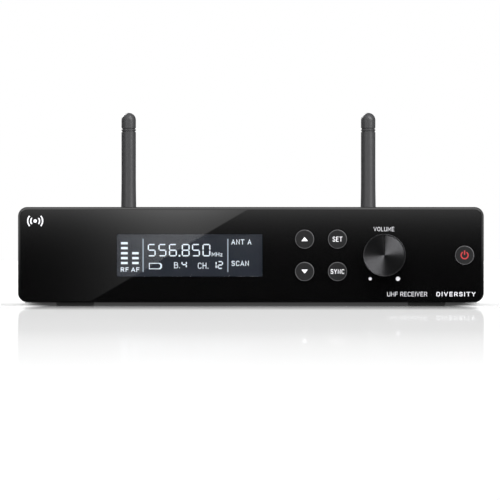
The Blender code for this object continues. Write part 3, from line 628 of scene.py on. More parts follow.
def build_prints():
    """The words beside the controls, the volume's end dots, and a plain sign for radio."""
    knob = middle("volume_knob")
    panel_print("volume_label", lettering("VOLUME", -4.45, 10.3, 8.9, 1.8, 0, PRINT_DEPTH, 0.18), knob)
    for name, dx, radius in (("volume_low_dot", -5.9, 0.68), ("volume_high_dot", 6.0, 0.93)):
        spot = cylinder(radius, 0, PRINT_DEPTH, SMALL)
        panel_print(name, spot, knob + Vector((dx * MM, 0, -10.1 * MM)))
    for name, words, left, width, pen in (
        ("receiver_words", "UHF RECEIVER", 58.5, 17.1, 0.18),
        ("diversity_word", "DIVERSITY", 79.6, 16.8, 0.31),
    ):
        mesh = lettering(words, 0, 0, width, 1.9, 0, PRINT_DEPTH, pen)
        panel_print(name, mesh, Vector((left * MM, 0, 4.15 * MM)))
    outlines = [polygon(0.75, SMALL)]
    half_stroke = 0.275
    for radius in (1.9, 3.2):
        for start in (-42, 138):
            outer = arc((0, 0), radius + half_stroke, start, start + 84, 16)
            outlines.append(outer + arc((0, 0), radius - half_stroke, start + 84, start, 16))
    panel_print("radio_icon", prisms(outlines, 0, PRINT_DEPTH), Vector((-92.6 * MM, 0, 36.5 * MM)))


# ---------------------------------------------------------------- display

DIGIT_SEGMENTS = {
    "0": "abcdef", "1": "bc", "2": "abged", "4": "fgbc", "5": "afgcd", "6": "afgedc", "8": "abcdefg",
}
LCD_LOW = 0.02
LCD_HIGH = 0.08


def segment_bar(start, end, stroke):
    """A bar with pointed ends between two points on local X and Y."""
    dx, dy = end[0] - start[0], end[1] - start[1]
    length = math.hypot(dx, dy)
    ux, uy = dx / length, dy / length
    half = stroke / 2
    shapes = ((0, 0), (half, -half), (length - half, -half), (length, 0), (length - half, half), (half, half))
    return [(start[0] + ux * a - uy * b, start[1] + uy * a + ux * b) for a, b in shapes]


def digit(character, left, bottom, width, height, stroke):
    """The lit segments of one seven-segment figure."""
    half = stroke / 2
    gap = 0.2 * stroke
    x0, x1 = left + half, left + width - half
    y0, y1, y2 = bottom + half, bottom + height / 2, bottom + height - half
    ends = {
        "a": ((x0 + gap, y2), (x1 - gap, y2)),
        "b": ((x1, y1 + gap), (x1, y2 - gap)),
        "c": ((x1, y0 + gap), (x1, y1 - gap)),
        "d": ((x0 + gap, y0), (x1 - gap, y0)),
        "e": ((x0, y0 + gap), (x0, y1 - gap)),
        "f": ((x0, y1 + gap), (x0, y2 - gap)),
        "g": ((x0 + gap, y1), (x1 - gap, y1)),
    }
    return [segment_bar(*ends[key], stroke) for key in DIGIT_SEGMENTS[character]]


def lcd_piece(name, mesh, look="lcd_lit"):
    """Something shown on the display: its mesh is in row-frame x and z, set on the glass."""
    piece(name, mesh, TO_FRONT, Vector((0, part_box("lcd_panel")[0].y, 0)), look, angle=80)


def lcd_shapes(name, outlines, look="lcd_lit"):
    lcd_piece(name, prisms(outlines, LCD_LOW, LCD_HIGH), look)


def build_display():
    figures = []
    for character, left in zip("556850", (-44.3, -39.7, -35.2, -29.7, -25.3, -20.8)):
        figures += digit(character, left, 21.3, 3.4, 5.35, 0.52)
    figures.append(rectangle(-31.05, 21.2, -30.3, 21.95))
    lcd_shapes("lcd_frequency", figures)
    small = digit("4", -29.8, 16.2, 2.3, 3.1, 0.48)
    small += digit("1", -17.0, 15.9, 2.3, 3.4, 0.48)
    small += digit("2", -14.3, 15.9, 2.3, 3.4, 0.48)
    lcd_shapes("lcd_small_figures", small)
    bars = []
    rows = (26.96, 24.85, 22.66, 20.55, 18.45)
    for left, right, count in ((-55.8, -52.9, 5), (-51.0, -48.2, 3)):
        for z in rows[len(rows) - count:]:
            bars.append(rectangle(left, z - 0.5, right, z + 0.5))
    lcd_shapes("lcd_level_bars", bars)
    build_battery()
    lcd_shapes("lcd_dividers", [rectangle(x - 0.25, 14.6, x + 0.25, 28.8) for x in (-46.3, -9.9)], "lcd_line")
    for name, words, left, bottom, width, height, pen in (
        ("lcd_rf", "RF", -55.9, 14.7, 3.4, 1.9, 0.34),
        ("lcd_af", "AF", -51.4, 14.7, 3.5, 1.9, 0.34),
        ("lcd_mhz", "MHz", -16.8, 21.3, 4.6, 1.8, 0.24),
        ("lcd_bank", "B.", -33.0, 16.2, 2.5, 2.6, 0.3),
        ("lcd_channel", "CH.", -22.8, 16.0, 4.5, 2.6, 0.3),
        ("lcd_antenna", "ANT A", -8.4, 26.4, 8.6, 2.2, 0.32),
        ("lcd_scan", "SCAN", -8.3, 17.2, 7.4, 2.2, 0.32),
    ):
        lcd_piece(name, lettering(words, left, bottom, width, height, LCD_LOW, LCD_HIGH, pen))


def cell_outline(left, bottom, right, top, slope):
    """A rectangle with its two right corners cut off."""
    return [
        (left, bottom), (right - slope, bottom), (right, bottom + slope),
        (right, top - slope), (right - slope, top), (left, top),
    ]


def build_battery():
    """An outlined cell with a bevelled right end, as a flat ring near the glass and one above it."""
    left, bottom, right, top = -43.8, 15.8, -38.2, 18.5
    stroke = 0.32
    tip = 0.7
    outer = cell_outline(left, bottom, right, top, tip)
    inner = cell_outline(left + stroke, bottom + stroke, right - tip, top - stroke, tip * 0.8)
    bm = bmesh.new()
    for height in (LCD_LOW, LCD_HIGH):
        outside, inside = [
            [bm.verts.new((x * MM, y * MM, height * MM)) for x, y in outline] for outline in (outer, inner)
        ]
        for index in range(len(outer)):
            bm.faces.new((outside[index - 1], outside[index], inside[index], inside[index - 1]))
    lcd_piece("lcd_battery", mesh_from(bm))


# ---------------------------------------------------------------- front controls

def build_button(key):
    node = f"button_{key}"
    radius = button_radius(key)
    collar = half_size(node)[0]
    back, proud = front_depths(node)
    fillet = 0.45
    profile = [
        (0, proud - 0.06), (radius * 0.5, proud - 0.04), (radius - fillet - 0.25, proud),
        *arc((radius - fillet, proud - fillet), fillet, 90, 0, 8),
        (radius, back + 1.1), (collar, back + 1.1), (collar, back + 0.3), (1.6, back + 0.3), (1.6, back),
        (0, back),
    ]
    # a thin ring of lighter plastic on the cap's rounded edge: painted highlight
    edge = [
        (radius - 0.32, proud - 0.12), (radius - 0.16, proud - 0.04), (radius - 0.02, proud - 0.16),
        (radius - 0.02, proud - 0.5), (radius - 0.32, proud - 0.5),
    ]
    place = on_panel(middle(node))
    riding = {"body": f"{key}_button", "slot": "button_grey"}
    piece(f"{key}_button_cap", lathe(profile), TO_FRONT, place, "button_plastic", node, **riding)
    piece(f"{key}_button_ring", lathe(edge, ring=True), TO_FRONT, place, "button_bevel_painted_highlight", **riding)
    # both marks glow a little: painted light on marks that are no lamps
    look = "red_power_mark_painted_glow" if key == "power" else "white_print_with_painted_glow"
    mark = button_mark(key, proud - 0.055, proud + 0.02)
    piece(f"{key}_button_mark", mark, TO_FRONT, place, look, angle=80, **riding)


def button_mark(key, low, high):
    if key == "up":
        return prism([(-1.35, -0.82), (1.35, -0.82), (0, 0.82)], low, high)
    if key == "down":
        return prism([(0, -0.82), (1.35, 0.82), (-1.35, 0.82)], low, high)
    if key == "power":
        ring = arc((0, 0), 1.75, 122, 418, 40) + arc((0, 0), 1.25, 418, 122, 40)
        return prisms([ring, rectangle(-0.25, 0.2, 0.25, 2.05)], low, high)
    width, height = {"set": (4.06, 2.1), "sync": (5.8, 2.0)}[key]
    return lettering(key.upper(), -width / 2, -height / 2, width, height, low, high, 0.21)


def build_knob():
    place = on_panel(middle("volume_knob"))
    radius = half_size("volume_knob")[0]
    back, front = front_depths("volume_knob")
    face_radius = radius - 0.5
    land = front - 0.04
    recess = front - 0.15
    fillet = 0.25
    waist = radius - 0.35
    profile = [
        (0, front - 0.7), (face_radius, front - 0.7), (face_radius, recess), (face_radius + 0.04, land),
        (radius - fillet, land), *arc((radius - fillet, land - fillet), fillet, 90, 0, 6),
        (radius, back + 7.2), (waist, back + 7.0), (waist, back + 0.8), (radius, back + 0.6), (radius, back),
        (radius - 1.4, back), (radius - 1.4, 3), (5.5, 3), (5.5, back), (3.3, back), (3.3, front - 2.7),
        (0, front - 2.7),
    ]
    flutes = [polygon(0.28, 10, at=at) for at in polygon(radius - 0.3, 48)]
    body = shaped(lathe(profile, FINE), ("cut", prisms(flutes, back + 0.9, back + 6.9)))
    disc_radius = face_radius - 0.03
    disc = [(0, recess + 0.05), (disc_radius, recess), (disc_radius, front - 0.65), (0, front - 0.65)]
    half = 0.33
    groove = recess - 0.15
    slot = prism(rectangle(-half, 0.1, half, radius), groove, front + 1)
    face = shaped(lathe(disc, FINE), ("cut", slot))
    pointer = rectangle(-half * 0.96, 0.12, half * 0.96, face_radius - 0.1)
    line = prism(pointer, groove + 0.005, groove + 0.08)
    # a thin ring of lighter metal round the knob's face: painted highlight
    inner = face_radius + 0.06
    outer = radius - 0.12
    ring = [
        (inner, front - 0.2), (inner, front - 0.03), (inner + 0.08, front), (outer - 0.08, front),
        (outer, front - 0.08), (outer, front - 0.2),
    ]
    for name, mesh, look, replaced in (
        ("knob_body", body, "knob_rim", "volume_knob"),
        ("knob_face", face, "knob_spun", "knob_face_disc"),
        ("knob_pointer", line, "pointer_black", None),
        ("knob_highlight_ring", lathe(ring, FINE, True), "knob_bevel_painted_highlight", None),
    ):
        piece(name, mesh, TO_FRONT, place, look, replaced, "volume_control")


# ---------------------------------------------------------------- antennas

def antenna_place(side):
    """The point on the rear wall that an antenna's and its collar's axis runs through."""
    return on_rear(axis_point(f"{side}_antenna_swivel"))


def build_antenna(side):
    node = f"antenna_rod_{side}"
    low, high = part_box(node)
    axis = axis_point(f"{side}_antenna_swivel")
    place = Vector((axis.x, axis.y, 0))
    body = f"{side}_antenna"
    radius = 3.25
    tip = high.z / MM
    seam = 31.4
    profile = arc((0, tip - radius), radius, 90, 0, 12)
    profile[0] = (0, tip)
    for ring in (78.8, 77.6):
        profile += [
            (radius, ring + 0.34), (radius - 0.3, ring + 0.153),
            (radius - 0.3, ring - 0.153), (radius, ring - 0.34),
        ]
    profile += [
        (radius, 56), (3.28, 52), (3.34, 47.5), (3.42, 43), (3.55, 39.5), (3.85, 36.5), (4.3, 34),
        (4.6, 32.9), (4.7, 32.4), (4.7, seam + 0.25), (4.5, seam + 0.05), (0, seam + 0.05),
    ]
    piece(f"antenna_whip_{side}", lathe(profile), UPRIGHT, place, "rod_rubber", node, body)
    wide = half_size(node)[0]
    base = low.z / MM
    post = [
        (0, seam), (4.6, seam), (5.1, seam - 0.25), (5.6, seam - 1.2), (wide - 0.12, seam - 2.4),
        (wide, seam - 4),
        *arc((wide - 1.3, base + 1.3), 1.3, 0, -90, 8), (0, base),
    ]
    shoulder = (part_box(f"bnc_collar_{side}")[1].y - axis.y) / MM + 0.3
    arm = lathe([(0, 0), (5.7, 0), (5.7, -shoulder - 0.5), (5.3, -shoulder), (0, -shoulder)])
    tail = cylinder(2.8, -shoulder - 5.6, -shoulder + 1, SMALL)
    across = Matrix.Translation((0, 0, axis.z)) @ TO_FRONT
    elbow = shaped(
        lathe(post, FINE), ("add", moved(arm, across)), ("cut", moved(tail, across)), ("bevel", 0.35, 3, 40)
    )
    piece(f"antenna_elbow_{side}", elbow, UPRIGHT, place, "rod_rubber", body=body)


def build_plug(side):
    """The plug's neck and flange. Only its neck shows between the collar and the elbow."""
    profile = [
        (0, 19.5), (2.5, 19.5), (2.5, 13.9), (3.9, 13.9), (4.0, 13.8), (4.0, 12.6), (5.5, 12.6), (5.5, 11.8),
        (3.7, 11.8), (3.7, 3.9), (3.4, 3.6), (2.2, 3.6), (2.2, 10.0), (0, 10.0),
    ]
    node = f"antenna_plug_{side}"
    place = antenna_place(side)
    piece(f"antenna_plug_core_{side}", lathe(profile), TO_REAR, place, "nickel", node, f"{side}_antenna")


LUG_HEIGHT = 8.5  # of the socket's bayonet lugs, off the rear wall


def lug_pair(radius, low, high):
    """Two rods that stand out sideways, opposite each other, at the bayonet lugs' height."""
    up = Matrix.Translation((0, 0, LUG_HEIGHT * MM))
    pair = []
    for degrees in (0, 180):
        turn = up @ turned(degrees, "Z") @ turned(90, "Y")
        pair.append(moved(cylinder(radius, low, high, SMALL), turn))
    return pair


def build_collar(side):
    """A bayonet collar: a knurled grip, a smooth nose, and the two slot ends that hold the lugs."""
    node = f"bnc_collar_{side}"
    radius = half_size(node)[0]
    front, back = rear_depths(node)
    bore = 5.85
    nose = radius - 0.75
    grip = radius - 0.25
    lip = radius - 0.45
    profile = [
        (4.3, back), (radius - 0.9, back), (lip, back - 0.35), (lip, back - 0.8), (grip, back - 0.95),
        (grip, front + 5.3), (nose, front + 5.0), (nose, front + 0.3), (nose - 0.25, front), (bore, front),
        (bore, back - 1), (4.3, back - 1),
    ]
    ridges = [polygon(0.34, 8, at=at) for at in polygon(radius - 0.34, 32)]
    mesh = shaped(
        lathe(profile, FINE, True), ("add", prisms(ridges, front + 5.5, back - 1.1)),
        ("cut", *lug_pair(1.15, 5.0, radius + 1)),
    )
    place = on_rear(axis_point(f"{side}_collar_turn"))
    piece(f"bnc_collar_shell_{side}", mesh, TO_REAR, place, "nickel", node, f"{side}_collar")


def build_socket(side):
    profile = [
        (0, 9.5), (1.5, 9.5), (1.7, 9.3), (1.7, 3.0), (4.1, 3.0), (4.1, 11.2), (4.3, 11.5), (4.55, 11.5),
        (4.75, 11.3), (4.75, -1.3), (7.0, -1.3), (7.0, -2.3), (2.0, -2.3), (2.0, -7.0), (0, -7.0),
    ]
    place = antenna_place(side)
    mesh = shaped(lathe(profile), ("add", *lug_pair(0.95, 4.4, 5.5)))
    piece(f"bnc_barrel_{side}", mesh, TO_REAR, place, "nickel", f"bnc_socket_{side}")
    hex_nut(f"bnc_hex_nut_{side}", f"bnc_nut_{side}", place, 5.0)


def hex_nut(name, node, place, bore):
    """A chamfered hexagon nut in the place of a CAD nut."""
    near, far = rear_depths(node)
    half_x, half_z = half_size(node)
    corner = 2 * min(half_x, half_z) / math.sqrt(3)
    blank = prism(polygon(corner, 6, 30 if half_x < half_z else 0), near, far)
    chamfer = [
        (0, far), (corner * 0.9, far), (corner * 1.04, far - 0.5), (corner * 1.04, near + 0.25),
        (corner * 0.97, near), (0, near),
    ]
    mesh = shaped(blank, ("keep", lathe(chamfer, FINE)), ("cut", cylinder(bore, near - 1, far + 1, SMALL)))
    piece(name, mesh, TO_REAR, place, "nickel", node)


# ---------------------------------------------------------------- rear panel

def pan_screw(node, turn, place, head_low, head_high, tail, shank):
    """A pan-head screw: its head between two heights on local Z, its shank down to tail."""
    radius = half_size(node)[1]
    thick = head_high - head_low
    profile = [(0, head_high)]
    for across, down in ((0.45, 0.04), (0.8, 0.25), (0.96, 0.55)):
        profile.append((radius * across, head_high - thick * down))
    profile += [(radius, head_low + thick * 0.15), (radius * 0.98, head_low)]
    profile += [(shank, head_low), (shank, tail), (0, tail)]
    reach, half = radius * 0.55, radius * 0.1
    floor = head_low + thick * 0.25
    slots = [prism(centred(*size), floor, head_high + 1) for size in ((reach, half), (half, reach))]
    mesh = shaped(lathe(profile, SMALL), ("cut", *slots))
    piece(f"{node}_pan", mesh, turn, place, "black_zinc", node)


def rear_part(node):
    """A CAD node's place on the rear wall, its half width, and its inner and outer end."""
    return on_rear(middle(node)), half_size(node)[0], *rear_depths(node)


def flat_on_rear(node, place):
    """A node's middle on local X and Y, in a piece placed on the rear wall."""
    point = middle(node)
    return (point.x - place.x) / MM, -(point.z - place.z) / MM


def build_xlr():
    node = "xlr_shell"
    place, _, back, front = rear_part(node)
    seat = 0.3
    bore = 9.8
    screws = ("xlr_screw_upper", "xlr_screw_lower")
    pins = ("xlr_pin_1", "xlr_pin_2", "xlr_pin_3")
    flange = prism(rounded(*half_size(node), 2.6), seat, front - 0.3)
    cup = [
        (bore - 0.4, front), (bore + 1.4, front), (bore + 1.9, front - 0.5), (bore + 1.9, seat + 0.2),
        (11.5, seat + 0.2), (11.5, back), (7, back), (7, back + 1), (bore - 0.4, back + 1),
    ]
    plug_room = cylinder(bore, back + 1, front - 0.6, FINE)
    mouth = cylinder(8, back + 1, front + 1, FINE)
    key = prism(rectangle(-1.6, -bore - 0.9, 1.6, -5), front - 9, front + 1)
    holes = [cylinder(11, seat - 1, front + 1, FINE)]
    for screw in screws:
        holes.append(cylinder(1.6, seat - 1, front + 1, SMALL, flat_on_rear(screw, place)))
    mesh = shaped(
        flange, ("bevel", 0.25, 3, 60), ("cut", *holes), ("add", lathe(cup, FINE, True)),
        ("cut", plug_room, mouth, key),
    )
    piece("xlr_housing", mesh, TO_REAR, place, "moulded_black", node)
    _, radius, near, far = rear_part("xlr_insert")
    disc = [(0, far), (radius - 0.3, far), (radius, far - 0.3), (radius, near), (0, near)]
    seats = [cylinder(1.35, near - 1, far + 1, SMALL, flat_on_rear(pin, place)) for pin in pins]
    insert = shaped(lathe(disc, FINE), ("cut", *seats))
    piece("xlr_insulator", insert, TO_REAR, place, "moulded_black", "xlr_insert")
    for number, pin in enumerate(pins, 1):
        spot, radius, tail, tip = rear_part(pin)
        profile = [(0, tip), *arc((radius - 1, tip - 1), 1, 78, 0, 8), (radius, tail), (0, tail)]
        piece(f"xlr_contact_{number}", lathe(profile, SMALL), TO_REAR, spot, "nickel", pin)
    for screw in screws:
        spot, _, tail, head = rear_part(screw)
        pan_screw(screw, TO_REAR, spot, head - 0.9, head, tail, 1.3)


def build_jack():
    place, half, back, front = rear_part("jack_body")
    inner = -1.3
    block = prism(centred(half, half), back, inner)
    thread = [(3.3, front - 0.5), (3.8, front), (5.0, front), (5.4, front - 0.4)]
    pitch = 0.75
    height = front - 0.4
    while height - pitch > 0:
        thread += [(5.2, height - pitch / 2), (5.4, height - pitch)]
        height -= pitch
    thread += [(5.4, inner - 0.5), (3.3, inner - 0.5)]
    mesh = shaped(block, ("cut", cylinder(3.3, back + 3, inner + 1)), ("add", lathe(thread, ring=True)))
    piece("jack_housing", mesh, TO_REAR, place, "moulded_black", "jack_body")
    hex_nut("jack_hex_nut", "jack_nut", place, 5.55)


def build_squelch():
    place, radius, back, front = rear_part("squelch_shaft")
    profile = [(0, front), (radius - 0.35, front), (radius, front - 0.35), (radius, back), (0, back)]
    slot = prism(centred(0.4, 3), front - 0.9, front + 1)
    stem = shaped(lathe(profile, SMALL), ("cut", slot))
    piece("squelch_stem", stem, TO_REAR, place, "moulded_black", "squelch_shaft", "squelch_control")
    _, half, back, nose = rear_part("squelch_pot_body")
    box = prism(centred(half, half), back, -1.3)
    tube = [(2.3, nose - 0.2), (2.5, nose), (3.2, nose), (3.4, nose - 0.2), (3.4, -2), (2.3, -2)]
    mesh = shaped(box, ("cut", cylinder(2.3, -6.5, 0, SMALL)), ("add", lathe(tube, ring=True)))
    piece("squelch_body", mesh, TO_REAR, place, "zinc", "squelch_pot_body")


def build_dc_inlet():
    place = on_rear(middle("dc_inlet_pin"))
    back, front = rear_depths("dc_inlet")
    body = prism(centred(*half_size("dc_inlet")), back, -1.3)
    nose = lathe([(0, front), (3.6, front), (3.9, front - 0.3), (3.9, -2), (0, -2)])
    bore = lathe([(0, front + 1), (3.1, front + 1), (3.1, front), (2.8, front - 0.3), (2.8, -9), (0, -9)])
    mesh = shaped(body, ("add", nose), ("cut", bore, cylinder(1.3, -13, -8, SMALL)))
    piece("dc_inlet_housing", mesh, TO_REAR, place, "moulded_black", "dc_inlet")
    tail, tip = rear_depths("dc_inlet_pin")
    profile = [(0, tip), *arc((0.35, tip - 0.65), 0.65, 85, 0, 6), (1, tail), (0, tail)]
    piece("dc_contact", lathe(profile, SMALL), TO_REAR, place, "nickel", "dc_inlet_pin")


# ---------------------------------------------------------------- case

def build_cover():
    """The folded sheet: one U-shaped outline along Y, with its screw holes."""
    low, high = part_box("top_cover")
    half = half_size("top_cover")[0]
    bend = 2.0
    centre_x = half - bend
    centre_z = high.z / MM - bend
    base = low.z / MM
    outline = [
        (-half, base),
        *arc((-centre_x, centre_z), bend, 180, 90, 10),
        *arc((centre_x, centre_z), bend, 90, 0, 10),
        (half, base), (half - SHEET, base),
        *arc((centre_x, centre_z), bend - SHEET, 0, 90, 10),
        *arc((-centre_x, centre_z), bend - SHEET, 90, 180, 10),
        (SHEET - half, base),
    ]
    holes = []
    for end in ENDS:
        for side in SIDES:
            point = middle(f"case_screw_{end}_{side}")
            world = Matrix.Translation((0, point.y, point.z)) @ TO_SIDE[side]
            holes.append(moved(cylinder(1.8, half - 4, half + 2, SMALL), TO_FRONT.inverted() @ world))
    # local Z runs to the front, so the outline lies on local X and Y as it does from the front
    mesh = shaped(prism(outline, -high.y / MM, -low.y / MM), ("cut", *holes), ("bevel", 0.12, 2, 50))
    piece("case_cover", mesh, TO_FRONT, ORIGIN, "powder_coat", "top_cover")


def build_case_screws():
    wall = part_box("top_cover")[1].x
    for end in ENDS:
        for side, sign in SIDES.items():
            node = f"case_screw_{end}_{side}"
            ends = sorted((abs(point.x) - wall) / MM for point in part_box(node))
            point = middle(node)
            place = Vector((sign * wall, point.y, point.z))
            pan_screw(node, TO_SIDE[side], place, ends[1] - 0.7, ends[1], ends[0], 1.4)


def build_tray():
    """The tray's bottom, front flange and rear wall, cut as the CAD's is."""
    (x0, y0, z0), (x1, y1, z1) = [[value / MM for value in point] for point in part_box("chassis_tray")]
    above = z1 + 5

    def block(left, near, low, right, far, high):
        return prism(rectangle(left, near, right, far), low, high)

    cutters = [
        block(x0 + SHEET, y0 + SHEET, z0 + SHEET, x1 - SHEET, y1 - SHEET, above),
        block(x0 - 5, y0 + 3, 12, x1 + 5, y1 - 3, above),
        block(-30, y0 - 1, 10, 30, y0 + 2, 34),
    ]
    for point, radius in (
        (middle("xlr_shell"), 11.8),
        (axis_point("left_antenna_swivel"), 5.05),
        (axis_point("right_antenna_swivel"), 5.05),
        (middle("jack_body"), 5.7),
        (middle("squelch_shaft"), 3.7),
        (middle("dc_inlet_pin"), 4.2),
        (middle("xlr_screw_upper"), 1.6),
        (middle("xlr_screw_lower"), 1.6),
    ):
        cutters.append(moved(cylinder(radius, -3, 3), Matrix.Translation(on_rear(point)) @ TO_REAR))
    mesh = shaped(block(x0, y0, z0, x1, y1, z1), ("cut", *cutters), ("bevel", 0.12, 2, 50))
    piece("case_tray", mesh, UPRIGHT, ORIGIN, "powder_coat", "chassis_tray")


def build_foot(end, side):
    node = f"foot_{end}_{side}"
    radius = half_size(node)[0]
    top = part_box(node)[1].z / MM
    profile = [
        (0, top), (radius, top), (radius, 0.9), *arc((radius - 0.8, 0.8), 0.8, 0, -90, 8),
        (radius - 2.2, 0), (radius - 2.5, 0.3), (radius - 3, 0.3), (radius - 3.3, 0), (0, 0),
    ]
    point = middle(node)
    place = Vector((point.x, point.y, 0))
    piece(f"rubber_{node}", lathe(profile), UPRIGHT, place, "foot_rubber", node)


def dress_inner_nodes():
    """Finishes for the CAD nodes that stay: the display's glass and what is inside the case."""
    looks = {
        "lcd_panel": "lcd_ground",
        "lcd_backlight": "light_guide",
        "control_board": "circuit_board",
        "main_board": "circuit_board",
        "ribbon_cable": "flat_cable",
        "rf_shield": "zinc",
        "filter_capacitor": "blue_sleeve",
        "voltage_regulator": "moulded_black",
        "volume_pot_body": "zinc",
        "volume_pot_nut": "nickel",
        "volume_shaft": "zinc",
    }
    for key in BUTTONS:
        looks[f"tact_switch_{key}"] = "moulded_black"
    for node, look in looks.items():
        mesh = frame["nodes"][node].data
        mesh.materials.clear()
        mesh.materials.append(FINISHES[look])


# ---------------------------------------------------------------- stage

CAMERA_DISTANCE = 3.0  # from the panel's face
CAMERA_X = -0.39 * MM
CAMERA_Z = 24.04 * MM
VIEW_WIDTH = 214.6 * MM  # the width that the picture spans at the panel's face
SENSOR = 36.0
WHITE = (1, 1, 1, 1)
FLOOR_GLOW = 0.2
TOP_GLOW = 2.6
SIDE_GLOW = 1.4
ALL_BUT_GLOSS = ("camera", "diffuse", "shadow", "transmission")


def build_camera():
    data = bpy.data.cameras.new("camera")
    data.sensor_width = SENSOR
    data.lens = SENSOR * CAMERA_DISTANCE / VIEW_WIDTH
    data.clip_start = 0.05
    data.clip_end = 50
    camera = loose(data, "camera")
    camera.location = (CAMERA_X, FACE_Y - CAMERA_DISTANCE, CAMERA_Z)
    camera.rotation_euler = (math.radians(90), 0, 0)
    bpy.context.scene.camera = camera


def card(name, width, height, turn, at, unseen_by=()):
    """A flat rectangle of the stage, turned from lying face up, and the nodes of its material."""
    bm = bmesh.new()
    bmesh.ops.create_grid(bm, x_segments=1, y_segments=1, size=0.5)
    bmesh.ops.transform(bm, matrix=turn @ Matrix.Diagonal((width, height, 1, 1)), verts=bm.verts)
    mesh = bpy.data.meshes.new(name)
    bm.to_mesh(mesh)
    bm.free()
    obj = loose(mesh, name)
    obj.location = at
    for rays in unseen_by:
        setattr(obj, f"visible_{rays}", False)
    obj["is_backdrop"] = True
    material = bpy.data.materials.new(name)
    mesh.materials.append(material)
    return obj, Nodes(material)


def build_floor():
    """A pale floor, polished in front of the unit: a strip that narrows towards the camera.

    Its gloss is strongest at a grazing look and close to the unit.
    """
    floor, nodes = card("floor", 24, 24, UPRIGHT, (0, 0, 0), ["glossy"])
    x, y, _ = nodes.apart(nodes.place())
    ahead = nodes.slope(y, FACE_Y + 0.04, FACE_Y - 1.96, 0, 1, "LINEAR")
    ramp = nodes.add("ValToRGB", Fac=ahead)
    stops = (
        (0.0, 0.0), (0.01, 0.97), (0.02, 0.97), (0.075, 0.72), (0.12, 0.34), (0.31, 0.31),
        (0.47, 0.28), (0.61, 0.17), (0.72, 0.1), (0.8, 0.04), (0.88, 0.0),
    )
    elements = ramp.color_ramp.elements
    while len(elements) < len(stops):
        elements.new(0.5)
    for element, (position, strength) in zip(elements, stops):
        element.position = position
        element.color = (strength, strength, strength, 1)
    to_camera = nodes.calculate("ADD", y, CAMERA_DISTANCE - FACE_Y)
    narrowing = nodes.calculate("DIVIDE", nodes.calculate("ABSOLUTE", x), to_camera)
    half = PANEL_HIGH.x / CAMERA_DISTANCE
    strip = nodes.slope(narrowing, half * 1.06, half * 1.2, 1, 0)
    facing = nodes.add("LayerWeight", Blend=0.5).outputs["Facing"]
    polished = nodes.times(ramp.outputs["Color"], strip)
    strength = nodes.times(polished, nodes.calculate("POWER", facing, 10))
    matt = nodes.add("BsdfDiffuse", Color=(0.93, 0.93, 0.93, 1))
    polish = nodes.add("BsdfAnisotropic", Roughness=0.02, Color=WHITE)
    # outside the strip it glows a little, like a light table, so that the unit's sides cast faint shadows
    lift = nodes.calculate("SUBTRACT", 1, nodes.times(nodes.slope(ahead, 0, 0.01, 0, 1), strip))
    lit = nodes.both("AddShader", matt.outputs["BSDF"], nodes.glow(nodes.times(lift, FLOOR_GLOW)))
    nodes.end(nodes.mix(strength, lit, polish.outputs["BSDF"]))
    return floor


def build_world():
    """White for the camera, dim for diffuse light, and for gloss brighter behind and above than in front."""
    world = bpy.data.worlds.new("studio")
    bpy.context.scene.world = world
    nodes = Nodes(world)
    _, y, z = nodes.apart(nodes.add("TexCoord").outputs["Generated"])
    sides = nodes.slope(y, -0.75, 0.1, 0.085, 0.06)
    above = nodes.slope(z, 0.1, 0.8, 1.0, 5.0)
    # the floor behind the unit, which gloss doesn't see, as bright as it would be
    ground = nodes.times(nodes.slope(z, 0, -0.25, 0, 0.6), nodes.slope(y, 0.3, 0.8, 0, 1))
    in_gloss = nodes.calculate("MULTIPLY_ADD", sides, above, ground)
    gloss, soft, seen = [
        nodes.add("Background", Color=WHITE, Strength=strength).outputs["Background"]
        for strength in (in_gloss, 0.22, 1.0)
    ]
    rays = nodes.add("LightPath").outputs
    lit = nodes.mix(rays["Is Glossy Ray"], soft, gloss)
    nodes.end(nodes.mix(rays["Is Camera Ray"], lit, seen), "OutputWorld")


def area_light(name, at, aim, width, height, power, lean=0):
    data = bpy.data.lights.new(name, "AREA")
    data.shape = "RECTANGLE"
    data.size = width
    data.size_y = height
    data.energy = power
    light = loose(data, name)
    light.location = at
    light.visible_camera = False
    aimed = (Vector(aim) - Vector(at)).to_track_quat("-Z", "Y").to_matrix()
    light.rotation_euler = (aimed @ Matrix.Rotation(math.radians(lean), 3, "Z")).to_euler()
    return light


def shine_only_on(light, objects):
    receivers = bpy.data.collections.new(f"lit_by_{light.name}")
    for obj in objects:
        receivers.objects.link(obj)
    light.light_linking.receiver_collection = receivers


def build_lights():
    """A broad soft light from above the camera, strips that draw bands on round parts, and a rear fill."""
    data = bpy.data.lights.new("broad_soft_light", "SUN")
    data.energy = 4.6
    data.angle = math.radians(75)
    broad = loose(data, "broad_soft_light")
    broad.rotation_euler = (math.radians(52), 0, math.radians(4))
    broad.visible_glossy = False
    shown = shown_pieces()
    rods = [obj for obj in shown if obj.name.startswith("antenna_")]
    controls = [obj for obj in shown if "knob" in obj.name or "button" in obj.name]
    flat = ("case_cover", "front_bezel", "front_panel")
    others = [obj for obj in shown if obj.name not in flat]
    metals = [obj for obj in shown if obj.data.materials[0].name in ("nickel", "zinc")]
    unit = (0, 0, 0.05)
    rear = (0, REAR_Y, 0.02)
    for receivers, *light in (
        (rods + controls, "strip_right", (0.95, -1.03, 0.95), (0.03, -0.05, 0.05), 0.34, 1.9, 44, 25),
        (rods, "strip_left", (-0.85, -1.25, 0.4), unit, 0.3, 0.9, 6),
        (others, "rear_fill", (-0.9, 1.6, 1.0), unit, 1.2, 1.2, 40),
        (metals, "metal_wall_behind", (0, 2.5, 0.8), rear, 4, 2, 13),
        (metals, "metal_wall_left", (-1.1, 1.0, 0.6), rear, 1.2, 1.2, 5),
        (metals, "metal_wall_right", (1.1, 1.0, 0.6), rear, 1.2, 1.2, 5),
    ):
        shine_only_on(area_light(*light), receivers)


